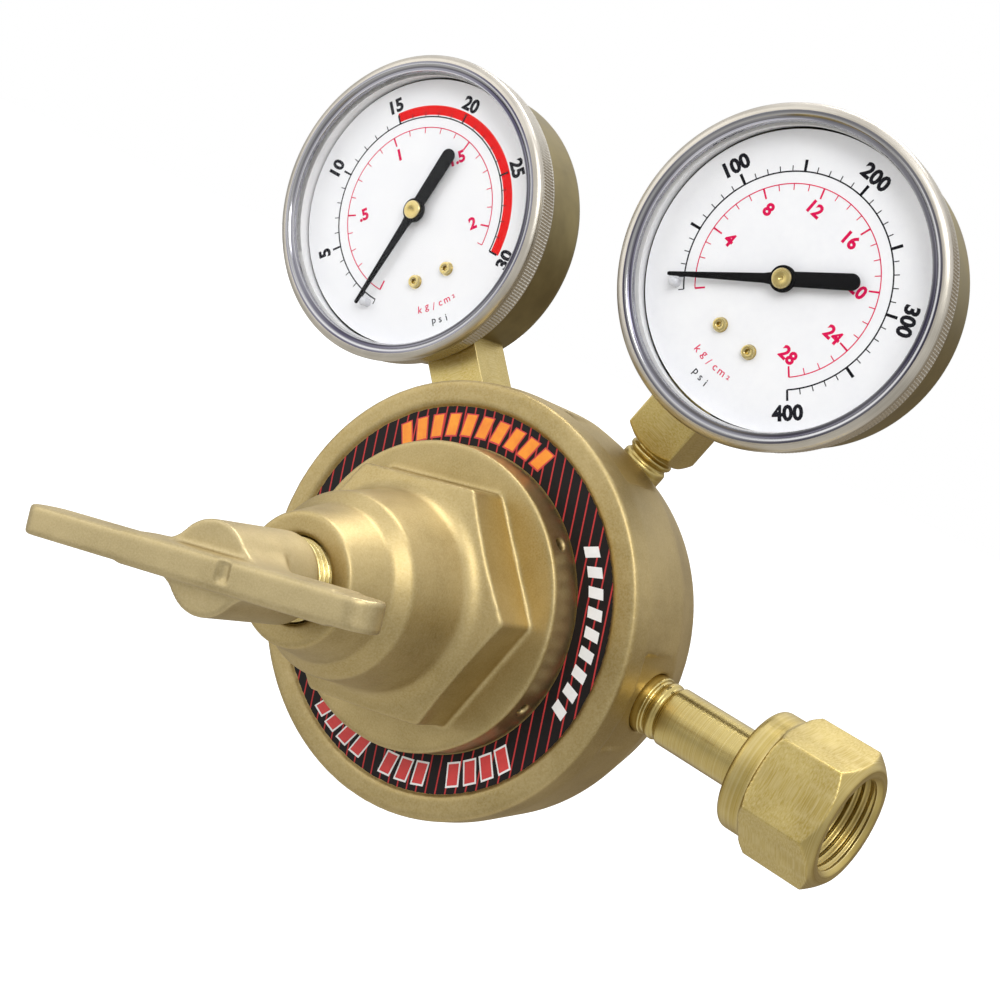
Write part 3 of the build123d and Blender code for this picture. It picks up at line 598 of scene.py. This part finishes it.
# ---------------------------------------------------------------- body and bonnet
def build_body():
    casting = softened("body", "body_casting", voxel=0.5, passes=5)
    place(casting, ROOT, ["body"], CAST)

    def open_bore(points):
        """Room for the screw in the neck, where smoothing has tightened the bore."""
        radius = np.hypot(points[:, 0], points[:, 2])
        bore = (radius < BORE_R) & (points[:, 1] < BORE_BACK)
        grow = np.where(bore, BORE_ROOM / np.maximum(radius, 1), 0.0)
        out = points.copy()
        out[:, 0] *= 1 + grow
        out[:, 2] *= 1 + grow
        return out

    bonnet = softened("bonnet", "bonnet_casting", 0.36, 9, BODY_FRAME, open_bore)
    place(bonnet, ROOT, ["bonnet"], CAST)


def build_handle():
    turn = math.radians(HANDLE_TURN)
    along, across = (math.cos(turn), math.sin(turn)), (-math.sin(turn), math.cos(turn))

    def notch(points):
        """Shallow gate mark on the front edge of the bar, as left by the casting."""
        x = points[:, 0] * along[0] + points[:, 2] * along[1]
        z = points[:, 0] * across[0] + points[:, 2] * across[1]
        inside = (np.clip(GATE_MARK_HALF_X - np.abs(x - GATE_MARK_X), 0, 1)
                  * np.clip(GATE_MARK_HALF_Z - np.abs(z - GATE_MARK_Z), 0, 1))
        out = points.copy()
        out[:, 1] += GATE_MARK_DEPTH * inside * (points[:, 1] < HANDLE_FRONT)
        return out

    handle = softened("t_handle", "t_handle_forging", 0.35, 9, BODY_FRAME, notch)
    place(handle, "t_handle", ["t_handle"], HANDLE_BRASS)
    build_screw()


def build_screw():
    start, end = SCREW_THREAD_START, SCREW_THREAD_END
    low, high = [corner.y / MM - BODY_ORIGIN.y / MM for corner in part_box("adjusting_screw")]
    rows = int((end - start) / THREAD_ROW)
    outline = [(0, low), (SCREW_SHANK_R - 0.1, low), (SCREW_SHANK_R, low + 0.2),
               (SCREW_SHANK_R, start)]
    outline += [(SCREW_CREST_R, start + (end - start) * row / rows) for row in range(rows + 1)]
    outline += [(SCREW_NOSE_R, end + 1.6), (SCREW_NOSE_R, SCREW_NOSE_END),
                (4.4, SCREW_NOSE_END + 1), (2.4, high - 0.1), (0, high)]

    def reshape(radius, y, angle):
        if radius != SCREW_CREST_R:
            return radius, y
        turns = y / SCREW_PITCH - angle / (2 * math.pi)
        depth = (SCREW_CREST_R - SCREW_ROOT_R) * float(thread_shape(np.float64(turns)))
        return SCREW_CREST_R - depth, y

    bm = bmesh.new()
    lathe(bm, outline, 96, reshape)
    screw = finish_mesh(bm, "adjusting_screw_thread", BODY_FRAME, 60)
    place(screw, "t_handle", ["adjusting_screw"], GOLD_Y)


# ---------------------------------------------------------------- label
def block_mark(bm, angle, low, high, width, slant, y):
    """Slanted bar that stands radially on the label ring."""
    centre = math.radians(angle)
    out = Vector((math.cos(centre), 0, math.sin(centre)))
    side = Vector((math.sin(centre), 0, -math.cos(centre)))
    corners = []
    for level in (y, y - PRINT):
        for reach, shift in ((low, -width / 2 - slant), (low, width / 2 - slant),
                             (high, width / 2 + slant), (high, -width / 2 + slant)):
            point = out * reach + side * shift + Vector((0, level, 0))
            corners.append(bm.verts.new(point))
    ends = ((0, 1, 2, 3), (7, 6, 5, 4))
    sides = ((0, 4, 5, 1), (1, 5, 6, 2), (2, 6, 7, 3), (3, 7, 4, 0))
    for face in ends + sides:
        bm.faces.new([corners[i] for i in face])


def word_angles(first, step, count, gaps=()):
    """Angles of a row of marks that stands for a word or two of the label."""
    return [LABEL_TURN + first + step * index for index in range(count) if index not in gaps]


def build_label():
    low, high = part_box("label_ring")
    front = (low.y - BODY_ORIGIN.y) / MM
    back = (high.y - BODY_ORIGIN.y) / MM
    inner, outer = LABEL_INNER_R, (high.x - low.x) / 2 / MM
    bm = bmesh.new()
    lathe(bm, [(inner, back), (outer, back), (outer, front + LABEL_EDGE),
               (outer - LABEL_EDGE, front), (inner + LABEL_EDGE, front),
               (inner, front + LABEL_EDGE)], 256)
    ring = finish_mesh(bm, "label_ring_foil", BODY_FRAME)
    place(ring, ROOT, ["label_ring"], LABEL)

    top = word_angles(118, -6.2, 10)
    right = word_angles(26, -6.5, 9)
    bottom = word_angles(-129, 6.4, 13, gaps=(4, 8))
    for name, angles, reach, width, slant, lift, material in (
            ("label_marks_red_edge", top, (33.0, 37.9), 2.9, 0.55, 0.0, LABEL_RED),
            ("label_marks_orange", top, (33.35, 37.65), 2.3, 0.5, PRINT, LABEL_ORANGE),
            ("label_marks_white", right, (34.0, 37.2), 2.2, 0.4, 0.0, LABEL_WHITE),
            ("label_marks_white_edge", bottom, (33.0, 38.0), 3.1, 0.5, 0.0, LABEL_WHITE),
            ("label_marks_red", bottom, (33.4, 37.6), 2.4, 0.45, PRINT, LABEL_RED)):
        marks = bmesh.new()
        for angle in angles:
            block_mark(marks, angle, *reach, width, slant, front - lift)
        place(finish_mesh(marks, name, BODY_FRAME), ROOT, (), material)


# ---------------------------------------------------------------- inlet and outlet
def build_ports():
    nipple = softened("inlet_nipple", "inlet_nipple_turned", voxel=0.22, passes=2)
    place(nipple, ROOT, ["inlet_nipple"], GOLD_X)

    def nut_thread(points):
        return cut_thread(points, 0, (0, 0, 0), NUT_CREST_R, NUT_THREAD_DEPTH, INLET_PITCH,
                          NUT_THREAD_START, NUT_THREAD_END, inward=False)

    nut = softened("inlet_nut", "inlet_nut_hexagon", 0.25, 3, ROW_FRAME, nut_thread)
    place(nut, "inlet_nut", ["inlet_nut"], GOLD_NUT)
    low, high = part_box("outlet_fitting")
    centre = ((low + high) / 2) / MM
    end = high.y / MM

    def hose_thread(points):
        return cut_thread(points, 1, centre, HOSE_CREST_R, HOSE_THREAD_DEPTH, HOSE_PITCH,
                          end - HOSE_THREAD_LENGTH, end - HOSE_THREAD_LEAD, inward=True)

    outlet = softened("outlet_fitting", "outlet_fitting_hexagon", 0.28, 3, ROW_FRAME, hose_thread)
    place(outlet, ROOT, ["outlet_fitting"], GOLD_Y)


# ---------------------------------------------------------------- gauges
def bezel_profile():
    """Closed outline (radius, y) from the back edge round the outside, the lip and the inside."""
    outline = [
        (32.5, -6.5), (34.1, -6.5, 0.15), (34.45, -6.8), (34.45, -7.1),
        *[(KNURL_R, y) for y in (-7.2, -7.6, -8.4, -9.2, -10.0, -10.7, -11.1)],
        (34.5, -11.25), (34.5, -11.45), (34.05, -11.6), (34.05, -11.9), (34.75, GRIP_Y),
        (34.85, -12.35),
        (34.85, -12.75), (34.5, -13.25), (33.9, -13.55), (33.2, -13.72), (32.6, -13.72),
        (32.2, -13.5), (32.05, -13.25), (31.75, -13.15), (31.45, -13.3), (31.15, -13.3),
        (31.0, -13.0), (31.0, -12.45), (32.5, -12.45)]
    return rounded(outline)


def build_bezel(name):
    def knurl(radius, y, angle):
        wave = 0.5 + 0.5 * math.cos(BEZEL_RIBS * (angle + 0.004 * y))
        if abs(radius - KNURL_R) < 0.01:
            return radius - 0.05 + KNURL_DEPTH * wave ** 0.7, y
        if abs(y - GRIP_Y) < 0.05:
            return radius - GRIP_DEPTH * wave, y
        return radius, y

    bm = bmesh.new()
    lathe(bm, bezel_profile(), BEZEL_RIBS * 4, knurl)
    bezel = finish_mesh(bm, name + "_bezel_knurled", GAUGE_FRAME[name], 50)
    place(bezel, ROOT, [name + "_bezel"], NICKEL)
    bezel.data.materials.append(CHROME)
    for polygon in bezel.data.polygons:
        centre = polygon.center / MM
        if math.hypot(centre.x, centre.z) < LIP_R and centre.y < LIP_Y:
            polygon.material_index = 1


def build_lens(name):
    bm = bmesh.new()
    lathe(bm, [(0, LENS_BACK), (LENS_R, LENS_BACK), (LENS_R, -12.25), (31.0, -12.38),
               (30.4, -12.55), (29.8, -12.45), (LENS_FLAT_R, LENS_FRONT), (0, LENS_FRONT)], 128)
    lens = finish_mesh(bm, name + "_lens_window", GAUGE_FRAME[name], 60)
    place(lens, ROOT, [name + "_lens"], GLASS)


def dial_point(angle, reach, y):
    """Point on the dial at an angle in degrees clockwise from twelve o'clock."""
    turn = math.radians(angle)
    return Vector((reach * math.sin(turn), y, reach * math.cos(turn)))


def arc_band(bm, inner, outer, start, end, thick=PRINT):
    """Printed band on the dial from one angle to another, at most about 2 degrees a step."""
    y = DIAL_FRONT
    steps = max(2, int((end - start) / 2))
    loops = []
    for step in range(steps + 1):
        angle = start + (end - start) * step / steps
        loops.append([bm.verts.new(dial_point(angle, reach, level)) for reach, level in
                      ((inner, y), (outer, y), (outer, y - thick), (inner, y - thick))])
    for first, second in zip(loops, loops[1:]):
        for i in range(4):
            bm.faces.new([first[i], first[(i + 1) % 4], second[(i + 1) % 4], second[i]])
    bm.faces.new(loops[0])
    bm.faces.new(loops[-1][::-1])


def tick(bm, angle, inner, outer, width):
    half = math.degrees(width / 2 / ((inner + outer) / 2))
    arc_band(bm, inner, outer, angle - half, angle + half)


def lettering(bm, text, height, angle, reach, turn, bold):
    """Numeral or unit printed at a dial angle and reach, turned clockwise by turn degrees."""
    curve = bpy.data.curves.new("lettering", "FONT")
    curve.body = text
    curve.align_x = "CENTER"
    curve.offset = bold
    curve.extrude = 0.5
    curve.resolution_u = 3
    draft = bpy.data.objects.new("lettering", curve)
    bpy.context.scene.collection.objects.link(draft)
    graph = bpy.context.evaluated_depsgraph_get()
    mesh = bpy.data.meshes.new_from_object(draft.evaluated_get(graph))
    bpy.data.objects.remove(draft)
    bpy.data.curves.remove(curve)
    points = np.empty(len(mesh.vertices) * 3)
    mesh.vertices.foreach_get("co", points)
    points = points.reshape(-1, 3)
    middle = (points.min(0) + points.max(0)) / 2
    size = height / CAP_HEIGHT
    across = (points[:, 0] - middle[0]) * size
    up = (points[:, 1] - middle[1]) * size
    spot = dial_point(angle, reach, 0)
    lean = math.radians(turn)
    made = np.empty_like(points)
    made[:, 0] = spot.x + across * math.cos(lean) + up * math.sin(lean)
    made[:, 2] = spot.z - across * math.sin(lean) + up * math.cos(lean)
    made[:, 1] = DIAL_FRONT - PRINT * (points[:, 2] - middle[2] + 0.5)
    mesh.vertices.foreach_set("co", made.ravel())
    bm.from_mesh(mesh)
    bpy.data.meshes.remove(mesh)


def arc_lettering(bm, text, reach, step):
    """Unit name that follows an arc round the bottom of the dial, read from below."""
    first = 180 + step * (len(text) - 1) / 2
    for index, letter in enumerate(text):
        angle = first - step * index
        lettering(bm, letter, UNIT_HEIGHT, angle, reach, angle - 180, UNIT_BOLD)


def scale_angle(value, full):
    return -SCALE_SPAN / 2 + SCALE_SPAN * value / full


def outer_numeral(bm, value, angle):
    """Psi numeral that stands on its tick, or hangs from it in the lower part of the dial."""
    turn = angle if abs(angle) < UPRIGHT_LIMIT else angle - 180 * math.copysign(1, angle)
    lettering(bm, str(value), PSI_NUMERAL_HEIGHT, angle, PSI_NUMERAL_R, turn, PSI_BOLD)


def print_scales(name, full, minor, major, numerals, bold_marks, red_full, red_step, red_marks):
    """Black psi scale up to full and, inside it, the red kg/cm2 scale up to red_full."""
    half_span = SCALE_SPAN / 2
    black, red = bmesh.new(), bmesh.new()
    arc_band(black, *PSI_ARC, -half_span, half_span)
    for index in range(int(full / minor) + 1):
        value = index * minor
        strong = index > 0 and abs(value / major - round(value / major)) < 1e-6
        tick(black, scale_angle(value, full), PSI_TICK_R, PSI_STRONG_R if strong else PSI_FINE_R,
             STRONG_TICK if strong else FINE_TICK)
    for value in bold_marks:
        tick(black, scale_angle(value, full), PSI_TICK_R, PSI_BOLD_R, BOLD_TICK)
    for value in numerals:
        outer_numeral(black, value, scale_angle(value, full))

    def red_angle(value):
        return scale_angle(value * PSI_PER_KG_CM2, full)

    arc_band(red, *KG_ARC, -half_span, red_angle(red_full))
    for index in range(int(round(red_full / red_step)) + 1):
        value = index * red_step
        strong = any(abs(value - mark) < 1e-6 for mark in [0, *red_marks])
        tick(red, red_angle(value), KG_STRONG_R if strong else KG_FINE_R, KG_TICK_R,
             KG_STRONG_TICK if strong else FINE_TICK)
    for value, text in red_marks.items():
        lettering(red, text, KG_NUMERAL_HEIGHT, red_angle(value), KG_NUMERAL_R, 0, KG_BOLD)
    arc_lettering(red, "kg/cm²", KG_UNIT_R, KG_UNIT_STEP)
    arc_lettering(black, "psi", PSI_UNIT_R, PSI_UNIT_STEP)
    for suffix, made, ink_used in (("_dial_scale_black", black, INK_BLACK),
                                   ("_dial_scale_red", red, INK_RED)):
        printed = finish_mesh(made, name + suffix, GAUGE_FRAME[name], 30)
        place(printed, ROOT, (), ink_used)


def build_pointer(name):
    """Flat pointer with softened edges and a round tail, its collar and its brass hub."""
    half_widths = [*POINTER_HALF_WIDTHS, (-TAIL_REACH, TAIL_R)]
    right = [(w, z) for z, w in half_widths]
    tail = [(TAIL_R * math.cos(a), -TAIL_REACH + TAIL_R * math.sin(a)) for a in
            [-math.pi * step / 16 for step in range(1, 16)]]
    left = [(-w, z) for z, w in reversed(half_widths)]
    bm = bmesh.new()
    verts = [bm.verts.new((x, POINTER_FRONT, z)) for x, z in right + tail + left]
    face = bm.faces.new(verts)
    made = bmesh.ops.extrude_face_region(bm, geom=[face])
    moved = [item for item in made["geom"] if isinstance(item, bmesh.types.BMVert)]
    bmesh.ops.translate(bm, vec=(0, POINTER_BACK - POINTER_FRONT, 0), verts=moved)
    bmesh.ops.recalc_face_normals(bm, faces=bm.faces)
    rims = [edge for edge in bm.edges if len(edge.link_faces) == 2
            and edge.calc_face_angle(0) > math.radians(60)]
    bmesh.ops.bevel(bm, geom=rims, offset=0.08, segments=2, affect="EDGES", profile=0.6)
    rest = Matrix.Rotation(math.radians(POINTER_REST), 3, "Y")
    bmesh.ops.rotate(bm, verts=bm.verts, cent=(0, 0, 0), matrix=rest)
    blade = finish_mesh(bm, name + "_pointer_blade", GAUGE_FRAME[name], 40)
    place(blade, name + "_pointer", [name + "_pointer"], POINTER_BLACK)
    collar = bmesh.new()
    lathe(collar, rounded([(1.0, -9.6), (2.75, -9.6), (2.75, -10.3, 0.2), (1.0, -10.3)]), 48)
    disc = finish_mesh(collar, name + "_pointer_collar", GAUGE_FRAME[name], 40)
    place(disc, name + "_pointer", (), POINTER_BLACK)
    hub = bmesh.new()
    lathe(hub, [(0, -10.3), (2.1, -10.3), (2.1, -10.75), (1.95, -10.92), (1.5, -10.97),
                (0.55, -10.97), (0.45, -10.9), (0.3, -10.75), (0, -10.7)], 48)
    cap = finish_mesh(hub, name + "_pointer_hub_cap", GAUGE_FRAME[name], 40)
    place(cap, name + "_pointer", [name + "_pointer_hub"], GOLD_SMALL)


def build_small_gauge_pieces(name):
    """The two tubular screws that hold the dial, and the pointer's stop pin."""
    screws = bmesh.new()
    for x in (-DIAL_SCREW_X, DIAL_SCREW_X):
        tube = bmesh.new()
        lathe(tube, [(0.62, -8.0), (1.45, -8.0), (1.45, -8.9), (1.35, -9.05), (1.1, -9.1),
                     (0.75, -9.1), (0.62, -9.0)], 40)
        lathe(tube, [(0, -7.9), (0.6, -7.9), (0.6, -8.3), (0.35, -8.45), (0, -8.5)], 24)
        bmesh.ops.translate(tube, vec=(x, 0, DIAL_SCREW_Z), verts=tube.verts)
        mesh = bpy.data.meshes.new("screw")
        tube.to_mesh(mesh)
        tube.free()
        screws.from_mesh(mesh)
        bpy.data.meshes.remove(mesh)
    heads = finish_mesh(screws, name + "_dial_screw_heads", GAUGE_FRAME[name], 40)
    place(heads, ROOT, (), GOLD_SMALL)
    pin = bmesh.new()
    lathe(pin, [(0, DIAL_FRONT), (STOP_PIN_R, DIAL_FRONT), (STOP_PIN_R, -10.1), (0.8, -10.35),
                (0.45, -10.5), (0, -10.53)], 32)
    spot = dial_point(STOP_PIN_ANGLE, STOP_PIN_REACH, 0)
    bmesh.ops.translate(pin, vec=(spot.x, 0, spot.z), verts=pin.verts)
    peg = finish_mesh(pin, name + "_stop_pin_peg", GAUGE_FRAME[name], 40)
    place(peg, ROOT, [name + "_stop_pin"], PIN_CLEAR)


def build_gauge(name):
    build_bezel(name)
    build_lens(name)
    build_pointer(name)
    build_small_gauge_pieces(name)
    block = softened(name + "_socket", name + "_socket_block", 0.3, 3, GAUGE_FRAME[name])
    place(block, ROOT, [name + "_socket"], GOLD_GAUGE)


def build_dials():
    print_scales("delivery", 30, 1, 5, (5, 10, 15, 20, 25, 30), (), 2.1, 0.1,
                 {0.5: ".5", 1.0: "1", 1.5: "1.5", 2.0: "2"})
    band = bmesh.new()
    arc_band(band, *RED_BAND, scale_angle(15, 30), scale_angle(30, 30), RED_BAND_THICK)
    printed = finish_mesh(band, "delivery_dial_red_band", GAUGE_FRAME["delivery"], 30)
    place(printed, ROOT, (), BAND_RED)
    print_scales("cylinder", 400, 10, 50, (100, 200, 300, 400), range(50, 351, 50), 28, 1,
                 {value: str(value) for value in range(4, 29, 4)})


# ---------------------------------------------------------------- carried-over CAD nodes
def dress_nodes():
    """Materials for the CAD nodes that are shown as they are."""
    finishes = {
        "slip_ring": GOLD_Y, "spring_button": STEEL, "adjusting_spring": SPRING,
        "diaphragm_plate": GOLD_Y, "diaphragm": RUBBER, "valve_nozzle": GOLD_Y,
        "valve_stem": GOLD_Y, "valve_seat": SEAT, "valve_spring": SPRING, "inlet_filter": SINTER,
    }
    for name in GAUGES:
        matrix = GAUGE_FRAME[name]
        local = gold(name + "_movement_brass", matrix, "y", 0.3)
        finishes.update({
            name + "_bourdon_tube": BRONZE, name + "_case_screws": STEEL,
            name + "_window_gasket": GASKET, name + "_dial": ENAMEL,
            name + "_dial_screws": local, name + "_pinion": STEEL, name + "_sector_gear": local,
            name + "_link": local, name + "_hairspring": BRONZE, name + "_movement_frame": local,
            name + "_case": case_finish(name + "_olive_case", matrix),
        })
    for node, material in finishes.items():
        obj = NODES[node]
        obj.data.materials.clear()
        obj.data.materials.append(material)


# ---------------------------------------------------------------- stage, lights, camera
def build_stage():
    """Pale floor below the regulator; mostly its own glow, so that no shadow darkens it."""
    bm = bmesh.new()
    bmesh.ops.create_circle(bm, cap_ends=True, segments=96, radius=2.5)
    mesh = bpy.data.meshes.new("floor")
    bm.to_mesh(mesh)
    bm.free()
    floor = add_object("floor", mesh, Matrix.Translation((0, 0, CAD_LOW.z - 0.06)))
    s = Shader("floor_white")
    tone = s.blend(s.noise(s.coordinates(), 3), colour(0.93, 0.93, 0.93), colour(0.95, 0.95, 0.95))
    diffuse = s.node("ShaderNodeBsdfDiffuse", {"Color": tone})
    glow = s.node("ShaderNodeEmission", {"Color": tone, "Strength": 1.5})
    mix = s.node("ShaderNodeMixShader", {0: 0.75, 1: diffuse.outputs[0], 2: glow.outputs[0]})
    s.tree.links.new(mix.outputs[0], s.output.inputs["Surface"])
    floor.data.materials.append(s.material)
    floor.visible_glossy = False
    floor.visible_diffuse = False


ROOM_GREYS = ((0.25, 0.54), (0.50, 0.65), (0.75, 0.86))         # (height, brightness)
BACK_SHADE = (0.34, 0.29, 0.22, 1)


def build_world():
    """White studio seen by the camera; reflections see a bright room with a dark low back."""
    world = bpy.data.worlds.new("studio")
    bpy.context.scene.world = world
    world.use_nodes = True
    tree = world.node_tree
    tree.nodes.clear()

    def node(kind, **settings):
        made = tree.nodes.new(kind)
        for key, value in settings.items():
            setattr(made, key, value)
        return made

    def fade(value, low, high):
        made = node("ShaderNodeMapRange", interpolation_type="SMOOTHSTEP")
        made.inputs["From Min"].default_value = low
        made.inputs["From Max"].default_value = high
        tree.links.new(value, made.inputs["Value"])
        return made.outputs[0]

    def product(first, second):
        made = node("ShaderNodeMath", operation="MULTIPLY")
        tree.links.new(first, made.inputs[0])
        tree.links.new(second, made.inputs[1])
        return made.outputs[0]

    parts = node("ShaderNodeSeparateXYZ")
    tree.links.new(node("ShaderNodeTexCoord").outputs["Generated"], parts.inputs[0])
    height = fade(parts.outputs[2], -1.0, 1.0)
    room = node("ShaderNodeValToRGB")
    stops = room.color_ramp.elements
    stops[0].position, stops[0].color = 0.0, (0.80, 0.78, 0.74, 1)
    stops[1].position, stops[1].color = 1.0, (1.25, 1.25, 1.28, 1)
    for spot, value in ROOM_GREYS:
        element = stops.new(spot)
        element.color = (value, value * 0.99, value * 0.97, 1)
    tree.links.new(height, room.inputs[0])
    shade = product(fade(parts.outputs[1], 0.15, 0.75),
                    product(fade(parts.outputs[2], 0.35, 0.0), fade(parts.outputs[2], -0.95, -0.6)))
    dark = node("ShaderNodeMix", data_type="RGBA")
    dark.inputs[7].default_value = BACK_SHADE
    tree.links.new(shade, dark.inputs[0])
    tree.links.new(room.outputs[0], dark.inputs[6])
    soft = node("ShaderNodeBackground")
    tree.links.new(dark.outputs[2], soft.inputs[0])
    white = node("ShaderNodeBackground")
    white.inputs[0].default_value = (1, 1, 1, 1)
    mix = node("ShaderNodeMixShader")
    tree.links.new(node("ShaderNodeLightPath").outputs["Is Camera Ray"], mix.inputs[0])
    tree.links.new(soft.outputs[0], mix.inputs[1])
    tree.links.new(white.outputs[0], mix.inputs[2])
    tree.links.new(mix.outputs[0], node("ShaderNodeOutputWorld").inputs[0])


def build_lights():
    """Soft rectangles: offset from the middle of the CAD box and size in metres, power in watts."""
    middle = (CAD_LOW + CAD_HIGH) / 2
    for name, offset, size, power in (("key", (0.45, -0.60, 0.60), (0.50, 0.40), 3.3),
                                      ("side", (-0.60, -0.55, 0.10), (0.60, 0.80), 1.5),
                                      ("top", (-0.12, 0.22, 0.75), (0.45, 0.35), 3.0)):
        data = bpy.data.lights.new(name, "AREA")
        data.shape = "RECTANGLE"
        data.size, data.size_y = size
        data.energy = power
        light = bpy.data.objects.new(name, data)
        bpy.context.scene.collection.objects.link(light)
        light.location = middle + Vector(offset)
        light.rotation_mode = "QUATERNION"
        light.rotation_quaternion = (middle - light.location).to_track_quat("-Z", "Y")
        light.visible_camera = False


def build_camera():
    """Camera solved from the outlines of the rims and bezels."""
    data = bpy.data.cameras.new("camera")
    data.sensor_width = CAMERA_SENSOR
    data.lens = CAMERA_LENS
    data.shift_x, data.shift_y = CAMERA_SHIFT
    data.clip_start, data.clip_end = 0.01, 20.0
    camera = bpy.data.objects.new("camera", data)
    bpy.context.scene.collection.objects.link(camera)
    spot = BODY_ORIGIN + Vector(CAMERA_SPOT) * MM
    forward = Vector(CAMERA_FORWARD).normalized()
    right = forward.cross(Vector(CAMERA_UP)).normalized()
    camera.matrix_world = frame_matrix(spot, right, right.cross(forward), -forward)
    bpy.context.scene.camera = camera


build_camera()
build_stage()
build_world()
build_lights()
build_body()
build_handle()
build_label()
build_ports()
for gauge in GAUGES:
    build_gauge(gauge)
build_dials()
dress_nodes()
bpy.context.scene.view_settings.view_transform = "Standard"
